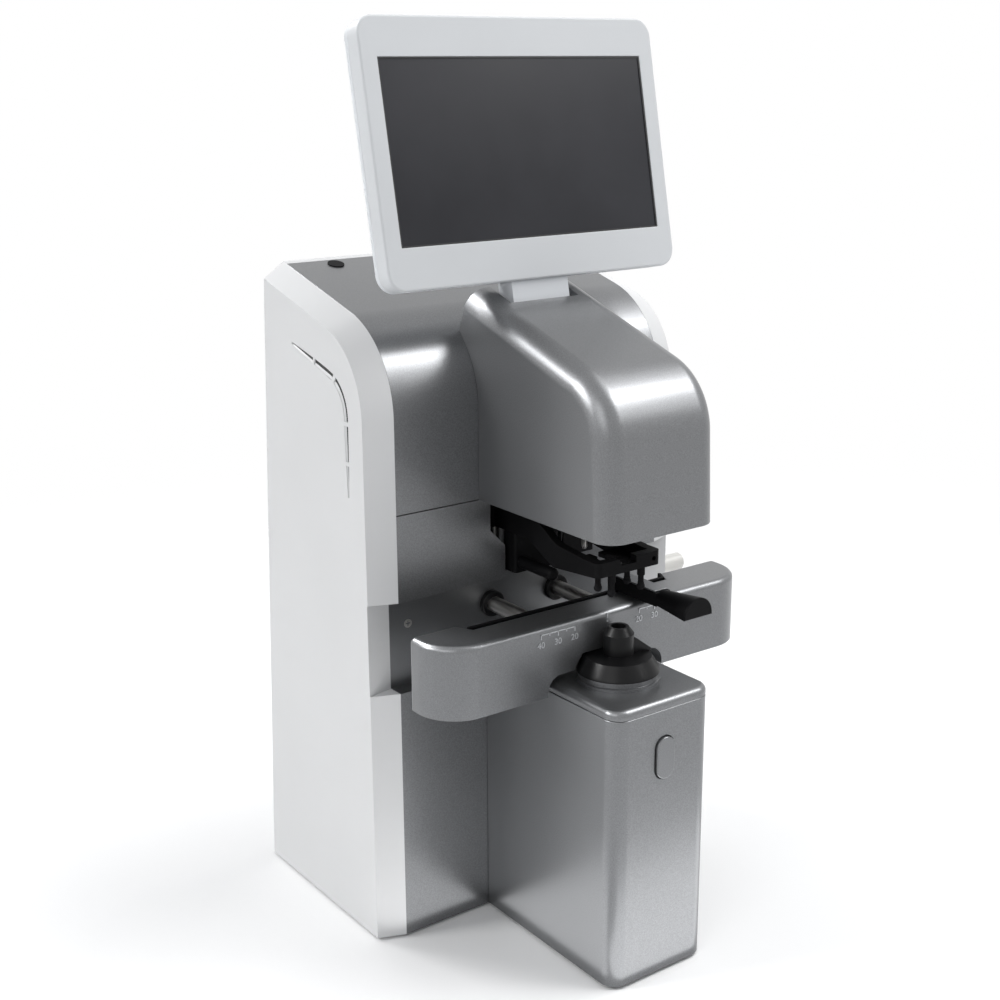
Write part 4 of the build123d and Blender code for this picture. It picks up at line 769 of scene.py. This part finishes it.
def perforated_tree():
    if "Perforated sheet" in bpy.data.node_groups:
        return bpy.data.node_groups["Perforated sheet"]
    tree, entry = new_tree("Perforated sheet", [("Hole", "Float"), ("Material", "Material")])
    rims = tree.nodes.new("GeometryNodeExtrudeMesh")
    rims.mode = "FACES"
    rims.inputs["Individual"].default_value = True
    rims.inputs["Offset Scale"].default_value = 0
    tree.links.new(entry.outputs["Geometry"], rims.inputs["Mesh"])
    shrink = tree.nodes.new("GeometryNodeScaleElements")
    shrink.domain = "FACE"
    tree.links.new(rims.outputs["Mesh"], shrink.inputs["Geometry"])
    tree.links.new(rims.outputs["Top"], shrink.inputs["Selection"])
    tree.links.new(entry.outputs["Hole"], shrink.inputs["Scale"])
    holes = tree.nodes.new("GeometryNodeDeleteGeometry")
    holes.domain = "FACE"
    tree.links.new(shrink.outputs["Geometry"], holes.inputs["Geometry"])
    tree.links.new(rims.outputs["Top"], holes.inputs["Selection"])
    return end_tree(tree, entry, holes.outputs["Geometry"])


def grown_screws(name, points, values, place):
    grown(name, screw_tree(), points, values, place, "housing", "ground_steel")


def number_mesh(number, sizes):
    curve = bpy.data.curves.new("scale_digits", "FONT")
    curve.body = number
    curve.size = sizes.mark_height
    curve.extrude = sizes.mark_relief
    curve.align_x = "CENTER"
    curve.align_y = "CENTER"
    label = bpy.data.objects.new("digits", curve)
    bpy.context.scene.collection.objects.link(label)
    depsgraph = bpy.context.evaluated_depsgraph_get()
    mesh = bpy.data.meshes.new_from_object(label.evaluated_get(depsgraph))
    bpy.data.objects.remove(label)
    return mesh


def marking(name, values, place):
    origin = [(0, 0, 0)]
    grown(
        name, comb_tree(), origin, values, place, "frame_table", "highlit_silver_mark"
    )


# Stage
def share_of(tree, path, kinds):
    total = path.outputs[kinds[0]]
    for kind in kinds[1:]:
        either = tree.nodes.new("ShaderNodeMath")
        either.operation = "MAXIMUM"
        tree.links.new(total, either.inputs[0])
        tree.links.new(path.outputs[kind], either.inputs[1])
        total = either.outputs[0]
    return total


def fading_floor(reach):
    material, tree, shader = fresh_material("pale_floor")
    shader.inputs["Base Color"].default_value = FLOOR_COLOUR
    shader.inputs["Roughness"].default_value = FLOOR_ROUGHNESS
    coordinates = tree.nodes.new("ShaderNodeTexCoord")
    distance = tree.nodes.new("ShaderNodeVectorMath")
    distance.operation = "LENGTH"
    tree.links.new(coordinates.outputs["Object"], distance.inputs[0])
    fade = tree.nodes.new("ShaderNodeMapRange")
    fade.interpolation_type = "SMOOTHSTEP"
    fade.inputs["From Min"].default_value = reach * FADE_START
    fade.inputs["From Max"].default_value = reach * FADE_END
    tree.links.new(distance.outputs["Value"], fade.inputs["Value"])
    clear = tree.nodes.new("ShaderNodeBsdfTransparent")
    mix = tree.nodes.new("ShaderNodeMixShader")
    output = next(node for node in tree.nodes if node.type == "OUTPUT_MATERIAL")
    tree.links.new(fade.outputs["Result"], mix.inputs["Fac"])
    tree.links.new(shader.outputs["BSDF"], mix.inputs[1])
    tree.links.new(clear.outputs["BSDF"], mix.inputs[2])
    tree.links.new(mix.outputs["Shader"], output.inputs["Surface"])
    return material


# A square lamp, or one of the given height
def area_light(name, place, target, size, power, height=None):
    data = bpy.data.lights.new(name, "AREA")
    data.energy = power
    data.size = size
    if height:
        data.shape = "RECTANGLE"
        data.size_y = height
    light = bpy.data.objects.new(name, data)
    light.location = place
    heading = Vector(target) - Vector(place)
    light.rotation_euler = heading.to_track_quat("-Z", "Y").to_euler()
    light.visible_camera = False
    bpy.context.scene.collection.objects.link(light)
    return light


# A lamp that only shows as a reflection, for the highlights on the paint
def sheen_light(name, place, target, size, power, height):
    light = area_light(name, place, target, size, power, height)
    light.visible_diffuse = False


# A lamp just above the floor that throws light up at the object
def floor_glow(name, centre, width, depth, power):
    above = (centre[0], centre[1], centre[2] + 1)
    light = area_light(name, centre, above, width, power, depth)
    light.rotation_euler = (pi, 0, 0)


def add_camera(stage):
    data = bpy.data.cameras.new("Camera")
    data.sensor_width = SENSOR_WIDTH
    data.lens = stage.lens
    data.clip_start = CAMERA_NEAR
    camera = bpy.data.objects.new("Camera", data)
    turn = Matrix.Rotation(stage.azimuth, 4, "Z")
    tip = Matrix.Rotation(pi / 2 - stage.elevation, 4, "X")
    roll = Matrix.Rotation(stage.roll, 4, "Z")
    camera.matrix_world = Matrix.Translation(stage.camera_place) @ turn @ tip @ roll
    bpy.context.scene.collection.objects.link(camera)
    bpy.context.scene.camera = camera


def add_lamps():
    left_high = (-1.5, 0.65, 1.15)
    top = (0.75, -0.3, 1.5)
    middle = (0, 0, UPPER_CENTRE[2])
    area_light("Front left", (-1.7, -0.9, 1.3), CENTRE, size=1.1, power=8)
    area_light("Left high", left_high, UPPER_CENTRE, size=0.4, power=10, height=0.5)
    area_light("Front right", (1.15, -1.2, 1.35), middle, size=0.55, power=5, height=0.8)
    area_light("Rear left", (-0.7, 1.25, 1.5), UPPER_CENTRE, size=0.5, power=9, height=0.7)
    area_light("Top", top, CENTRE, size=1.0, power=6)
    fill = area_light("Top fill", top, CENTRE, size=1.0, power=16)
    fill.visible_glossy = False
    sheen_light("Roll sheen", (1.0, -0.68, 1.55), UPPER_CENTRE, size=0.6, power=13, height=0.45)
    sheen_light("Left sheen", left_high, UPPER_CENTRE, size=0.35, power=24, height=0.4)
    sheen_light("Ridge sheen", (-0.55, 1.2, 1.35), HEAD_CENTRE, size=0.3, power=30, height=0.3)
    floor_glow("Bounce front", (0.05, -0.079, 0.004), width=0.22, depth=0.084, power=0.115)
    floor_glow("Bounce left", (-0.085, 0.015, 0.004), width=0.1, depth=0.094, power=0.04)


# Soft studio light all round, and plain white where the camera or a reflection looks past the object
def add_world(stage):
    world = bpy.data.worlds.new("Studio")
    bpy.context.scene.world = world
    world.use_nodes = True
    tree = world.node_tree
    tree.nodes.clear()
    output = tree.nodes.new("ShaderNodeOutputWorld")
    studio = tree.nodes.new("ShaderNodeBackground")
    studio.inputs["Color"].default_value = STUDIO_COLOUR
    studio.inputs["Strength"].default_value = stage.studio_strength
    white = tree.nodes.new("ShaderNodeBackground")
    white.inputs["Color"].default_value = WHITE
    path = tree.nodes.new("ShaderNodeLightPath")
    seen = share_of(tree, path, ("Is Camera Ray", "Is Glossy Ray", "Is Transmission Ray"))
    mix = tree.nodes.new("ShaderNodeMixShader")
    tree.links.new(seen, mix.inputs["Fac"])
    tree.links.new(studio.outputs["Background"], mix.inputs[1])
    tree.links.new(white.outputs["Background"], mix.inputs[2])
    tree.links.new(mix.outputs["Shader"], output.inputs["Surface"])


def add_floor(reach):
    mesh = bpy.data.meshes.new("Floor")
    corners = [(-reach, -reach, 0), (reach, -reach, 0), (reach, reach, 0), (-reach, reach, 0)]
    mesh.from_pydata(corners, [], [(0, 1, 2, 3)])
    floor = bpy.data.objects.new("Floor", mesh)
    bpy.context.scene.collection.objects.link(floor)
    mesh.materials.append(fading_floor(reach))


class LENSMETER_OT_stage(bpy.types.Operator):
    """Sets the camera, the soft lights and the pale floor"""

    bl_idname = "lensmeter.stage"
    bl_label = "Stage"

    def execute(self, context):
        stage = context.scene.lensmeter_stage
        add_camera(stage)
        add_lamps()
        add_world(stage)
        add_floor(stage.floor_reach)
        context.scene.view_settings.view_transform = "Standard"
        return {"FINISHED"}


class LENSMETER_OT_casing(bpy.types.Operator):
    """Dresses the white panels and the silver covers of the tower"""

    bl_idname = "lensmeter.casing"
    bl_label = "Casing"

    def execute(self, context):
        for side in ("left", "right"):
            node = side + "_side_panel"
            dressed(node, side + "_panel_shell", "housing", "white_panel", PANEL_EDGE)
        dressed("rear_cover", "rear_shell", "housing", "white_panel", FOLDED_EDGE)
        dressed("front_cover", "front_sheet", "housing", "silver_paint", FOLDED_EDGE)
        dressed("upper_cover", "upper_sheet", "housing", "silver_paint", FINE_EDGE)
        paint_nodes({"top_plug": "black_rubber"})
        return {"FINISHED"}


class LENSMETER_OT_head(bpy.types.Operator):
    """Dresses the head and its base"""

    bl_idname = "lensmeter.head"
    bl_label = "Head"

    def execute(self, context):
        dressed(
            "head_cover", "head_shell", "housing", "silver_paint",
            FINE_EDGE, LOFT_ANGLE,
        )
        paint_nodes({"head_base": "black_plastic"})
        return {"FINISHED"}


class LENSMETER_OT_pedestal(bpy.types.Operator):
    """Dresses the pedestal, its button, the boss and the nosepiece"""

    bl_idname = "lensmeter.pedestal"
    bl_label = "Pedestal"

    def execute(self, context):
        dressed(
            "pedestal_shell", "pedestal_case", "housing", "silver_paint",
            FOLDED_EDGE,
        )
        dressed(
            "pedestal_cap", "pedestal_lid", "housing", "silver_paint",
            FINE_EDGE, LOFT_ANGLE,
        )
        dressed("boss_ring", "boss_collar", "housing", "silver_paint", FINE_EDGE)
        dressed("nosepiece", "nose_cone", "housing", "black_plastic", MOULDED_EDGE)
        dressed(
            "read_button", "button_cap", "reading_button", "silver_paint",
            BUTTON_EDGE,
        )
        paint_nodes({"cover_glass": "cover_glass"})
        return {"FINISHED"}


class LENSMETER_OT_table(bpy.types.Operator):
    """Dresses the lens table, its rods, rail, slider and knob"""

    bl_idname = "lensmeter.table"
    bl_label = "Lens table"

    def execute(self, context):
        dressed(
            "table_bar", "table_casting", "frame_table", "silver_paint",
            FOLDED_EDGE, LOFT_ANGLE,
        )
        dressed("table_rods", "guide_rods", "frame_table", "ground_steel", SHARP_EDGE)
        dressed("table_rail", "rail_strip", "frame_table", "dull_black", FINE_EDGE)
        dressed(
            "nose_slider", "slider_body", "nose_pad_slider", "dull_black",
            MOULDED_EDGE,
        )
        dressed(
            "slider_cap", "slider_plate", "nose_pad_slider", "silver_paint",
            SHARP_EDGE,
        )
        dressed("side_knob", "knob_cap", "table_knob", "cream_plastic", SMALL_EDGE)
        paint_nodes(
            {
                "rod_bushes": "black_plastic",
                "table_rack": "plated_steel",
                "knob_shaft": "ground_steel",
                "pinion": "turned_brass",
                "shaft_bush": "black_plastic",
            }
        )
        return {"FINISHED"}


class LENSMETER_OT_presser(bpy.types.Operator):
    """Dresses the lens presser and the marker"""

    bl_idname = "lensmeter.presser"
    bl_label = "Presser and marker"

    def execute(self, context):
        dressed(
            "presser_arm", "presser_fork", "lens_presser", "dull_black",
            MOULDED_EDGE,
        )
        dressed(
            "presser_block", "presser_foot", "lens_presser", "dull_black",
            MOULDED_EDGE,
        )
        paint_nodes(
            {
                "stop_pin": "dull_black",
                "press_pins": "dull_black",
                "press_tips": "black_rubber",
                "presser_carriage": "dull_black",
                "presser_guides": "ground_steel",
                "marker_carrier": "dull_black",
                "marker_pin": "ground_steel",
                "marker_guide": "machined_aluminium",
            }
        )
        return {"FINISHED"}


class LENSMETER_OT_screen(bpy.types.Operator):
    """Dresses the screen and its hinge"""

    bl_idname = "lensmeter.screen"
    bl_label = "Screen"

    def execute(self, context):
        dressed(
            "screen_bezel", "screen_frame", "screen", "bezel_plastic",
            FINE_EDGE, LOFT_ANGLE,
        )
        dressed(
            "screen_shell", "screen_back", "screen", "bezel_rim",
            SMALL_EDGE, LOFT_ANGLE,
        )
        paint_nodes(
            {"lcd_panel": "display", "hinge_pin": "ground_steel", "screen_ears": "plated_steel"}
        )
        return {"FINISHED"}


class LENSMETER_OT_marks(bpy.types.Operator):
    """Adds the raised scale on the front of the lens table, lighter than the table as a painted
    highlight
    """

    bl_idname = "lensmeter.marks"
    bl_label = "Scale marks"

    def execute(self, context):
        low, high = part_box("table_bar")
        sizes = context.scene.lensmeter_sizes
        ten = sizes.scale_ten
        stroke = sizes.mark_stroke
        tick = TICK_STROKES * stroke
        row = high.z - SCALE_DROP
        ticks = {
            "Count": SCALE_TICKS,
            "Pitch": ten / 2,
            "Stroke": stroke,
            "Long": tick,
            "Short": tick * SHORT_TICK,
            "Relief": 2 * sizes.mark_relief,
        }
        spine = dict(ticks, Count=1, Stroke=2 * ten + stroke, Long=stroke)
        for side, first in (("left", SCALE_TENS[0]), ("right", SCALE_TENS[3])):
            place = Matrix.Translation((first * ten, low.y, row))
            marking(side + "_scale", ticks, place)
            place = Matrix.Translation((first * ten + ten, low.y, row))
            marking(side + "_scale_line", spine, place)
        for step in SCALE_TENS:
            number = str(abs(step) * 10)
            side = "left" if step < 0 else "right"
            place = Matrix.Translation((step * ten, low.y, high.z - NUMBER_DROP))
            mesh = number_mesh(number, sizes)
            mesh.transform(place @ Matrix.Rotation(pi / 2, 4, "X"))
            name = side + "_number_" + number
            mesh_piece(name, mesh, "frame_table", "highlit_silver_mark")
        centre = dict(ticks, Count=1, Long=tick)
        marking("centre_line", centre, Matrix.Translation((0, low.y, high.z - CENTRE_DROP)))
        dot = dict(ticks, Count=1, Stroke=2 * stroke, Long=2 * stroke)
        marking("centre_dot", dot, Matrix.Translation((0, low.y, row - tick * SHORT_TICK)))
        return {"FINISHED"}


class LENSMETER_OT_vents(bpy.types.Operator):
    """Adds the perforated black sheets behind the vent slits of both side panels; they sit just under
    the surface, so their black is partly painted shade for the deep slits
    """

    bl_idname = "lensmeter.vents"
    bl_label = "Vent sheets"

    def execute(self, context):
        cell = context.scene.lensmeter_sizes.vent_cell
        for side in (-1, 1):
            name = "left" if side < 0 else "right"
            low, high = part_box(name + "_side_panel")
            outer = low.x if side < 0 else high.x
            middle = (LIP_REACH, SHEET_DEPTH)
            points, faces = vent_strip(side, outer, low.y, cell, middle, (1, SHEET_DEPTH))
            # The sheet's black, so close under the surface, is partly painted shade for the depth of
            # the slit
            grown(
                name + "_vent_sheet", perforated_tree(), points, {"Hole": VENT_OPEN}, Matrix(),
                "housing", "black_and_painted_shade", faces,
            )
            points, faces = vent_strip(side, outer, low.y, cell, (-1, LIP_DEPTH), middle)
            mesh = bpy.data.meshes.new(name + "_vent_lip")
            mesh.from_pydata(points, [], faces)
            mesh_piece(name + "_vent_lip", mesh, "housing", "white_panel")
        return {"FINISHED"}


class LENSMETER_OT_opening_shade(bpy.types.Operator):
    """Adds a black plate on the channel wall beside the opening of the presser, as painted shade for
    the dark inside the opening
    """

    bl_idname = "lensmeter.trim"
    bl_label = "Opening trim"

    def execute(self, context):
        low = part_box("front_cover")[0]
        rear = low.y - SHADE_PLATE_GAP
        near = Vector((SHADE_PLATE_LEFT, rear - SHADE_PLATE_THICK, SHADE_PLATE_BOTTOM))
        far = Vector((SHADE_PLATE_RIGHT, rear, SHADE_PLATE_TOP))
        work = bmesh.new()
        size = far - near
        bmesh.ops.create_cube(
            work, matrix=Matrix.Translation((near + far) / 2) @ Matrix.Diagonal((*size, 1))
        )
        mesh = bpy.data.meshes.new("opening_shade_plate")
        work.to_mesh(mesh)
        work.free()
        # The plate's black is painted shade for the dark beside the presser opening
        mesh_piece("opening_shade_plate", mesh, "housing", "dull_black")
        return {"FINISHED"}


class LENSMETER_OT_border(bpy.types.Operator):
    """Adds the thin black border in the window of the display, partly a black gasket and partly painted
    shadow of the window's edge
    """

    bl_idname = "lensmeter.border"
    bl_label = "Display border"

    def execute(self, context):
        width = context.scene.lensmeter_sizes.border
        points = [vertex.co for vertex in NODES["lcd_panel"].data.vertices]
        low = min(points, key=lambda point: point.y)
        high = max(points, key=lambda point: point.z)
        rise = Vector((0, high.y - low.y, high.z - low.z))
        up = rise.normalized()
        right = Vector((1, 0, 0))
        out = right.cross(up)
        middle = Vector((0, low.y, low.z)) + rise / 2
        turn = Matrix((right, up, out)).transposed().to_4x4()
        half_wide = WINDOW_WIDE / 2
        half_tall = WINDOW_TALL / 2
        bars = (
            (-half_wide, half_wide, half_tall - width, half_tall),
            (-half_wide, half_wide, -half_tall, width - half_tall),
            (-half_wide, width - half_wide, width - half_tall, half_tall - width),
            (half_wide - width, half_wide, width - half_tall, half_tall - width),
        )
        work = bmesh.new()
        for left, far, bottom, top in bars:
            centre = Matrix.Translation(((left + far) / 2, (bottom + top) / 2, BORDER_RISE / 2))
            size = Matrix.Diagonal((far - left, top - bottom, BORDER_RISE, 1))
            bmesh.ops.create_cube(work, matrix=Matrix.Translation(middle) @ turn @ centre @ size)
        mesh = bpy.data.meshes.new("display_border_and_shadow")
        work.to_mesh(mesh)
        work.free()
        # The border's black is partly painted shadow that the window's edge casts on the display
        mesh_piece("display_border_and_shadow", mesh, "screen", "black_and_painted_shade")
        return {"FINISHED"}


class LENSMETER_OT_screws(bpy.types.Operator):
    """Adds the cover screws at the rear, under the base and in the table channel"""

    bl_idname = "lensmeter.screws"
    bl_label = "Cover screws"

    def execute(self, context):
        radius = context.scene.lensmeter_sizes.screw_radius
        values = {
            "Radius": radius,
            "Height": COVER_SCREW_HEIGHT,
            "Slot": radius * COVER_SCREW_SLOT,
        }
        low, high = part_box("rear_cover")
        facing = Matrix.Translation((0, high.y + low.z * tan(REAR_LEAN), 0))
        facing = facing @ Matrix.Rotation(pi, 4, "Z") @ Matrix.Rotation(pi / 2 - REAR_LEAN, 4, "X")
        reach = REAR_SCREW_REACH
        points = [(side * reach, height, 0) for side in (-1, 1) for height in REAR_SCREW_ROWS]
        grown_screws("rear_screws", points, values, facing)
        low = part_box("base_plate")[0]
        under = Matrix.Translation((0, 0, low.z)) @ Matrix.Rotation(pi, 4, "X")
        points = [(x, -y, 0) for x, y in BASE_SCREW_PLACES]
        grown_screws("base_screws", points, values, under)
        ahead = Matrix.Translation((0, CHANNEL_WALL, 0)) @ Matrix.Rotation(pi / 2, 4, "X")
        grown_screws("channel_screw", [CHANNEL_SCREW_PLACE], CHANNEL_SCREW, ahead)
        return {"FINISHED"}


class LENSMETER_OT_inside(bpy.types.Operator):
    """Finishes the pieces inside the housing and at its rear and underside"""

    bl_idname = "lensmeter.inside"
    bl_label = "Inside and rear"

    def execute(self, context):
        paint_nodes(
            {
                "base_plate": "plated_steel",
                "front_foot": "black_rubber",
                "rubber_feet": "black_rubber",
                "chassis": "plated_steel",
                "control_board": "circuit_green",
                "power_module": "plated_steel",
                "power_jack": "black_plastic",
                "rocker_housing": "black_plastic",
                "power_rocker": "black_plastic",
                "lamp_tube": "machined_aluminium",
                "lamp_lens": "cover_glass",
                "lamp_board": "circuit_green",
                "optics_arm": "plated_steel",
                "sensor_tube": "machined_aluminium",
                "sensor_board": "circuit_green",
                "sensor_shelf": "machined_aluminium",
                "button_switch": "plated_steel",
                "bearing_block": "machined_aluminium",
                "guide_bracket": "machined_aluminium",
            }
        )
        return {"FINISHED"}


class LENSMETER_PT_panel(bpy.types.Panel):
    """Shows the colour, size and stage settings and a button for each dressing step"""

    bl_label = "Lensmeter"
    bl_idname = "LENSMETER_PT_panel"
    bl_space_type = "VIEW_3D"
    bl_region_type = "UI"
    bl_category = "Lensmeter"

    def draw(self, context):
        scene = context.scene
        for group in (scene.lensmeter_paint, scene.lensmeter_sizes, scene.lensmeter_stage):
            for field in group.__annotations__:
                self.layout.prop(group, field)
        for step in STEPS:
            self.layout.operator(step.bl_idname)


STEPS = (
    LENSMETER_OT_stage,
    LENSMETER_OT_casing,
    LENSMETER_OT_head,
    LENSMETER_OT_pedestal,
    LENSMETER_OT_table,
    LENSMETER_OT_presser,
    LENSMETER_OT_screen,
    LENSMETER_OT_marks,
    LENSMETER_OT_vents,
    LENSMETER_OT_opening_shade,
    LENSMETER_OT_border,
    LENSMETER_OT_screws,
    LENSMETER_OT_inside,
)
CLASSES = (LensmeterPaint, LensmeterSizes, LensmeterStage, *STEPS, LENSMETER_PT_panel)


def register():
    for item in CLASSES:
        bpy.utils.register_class(item)
    bpy.types.Scene.lensmeter_paint = bpy.props.PointerProperty(type=LensmeterPaint)
    bpy.types.Scene.lensmeter_sizes = bpy.props.PointerProperty(type=LensmeterSizes)
    bpy.types.Scene.lensmeter_stage = bpy.props.PointerProperty(type=LensmeterStage)


def unregister():
    del bpy.types.Scene.lensmeter_stage
    del bpy.types.Scene.lensmeter_sizes
    del bpy.types.Scene.lensmeter_paint
    for item in reversed(CLASSES):
        bpy.utils.unregister_class(item)


def main():
    register()
    bpy.ops.lensmeter.stage()
    bpy.ops.lensmeter.casing()
    bpy.ops.lensmeter.head()
    bpy.ops.lensmeter.pedestal()
    bpy.ops.lensmeter.table()
    bpy.ops.lensmeter.presser()
    bpy.ops.lensmeter.screen()
    bpy.ops.lensmeter.marks()
    bpy.ops.lensmeter.vents()
    bpy.ops.lensmeter.trim()
    bpy.ops.lensmeter.border()
    bpy.ops.lensmeter.screws()
    bpy.ops.lensmeter.inside()


if __name__ == "__main__":
    main()
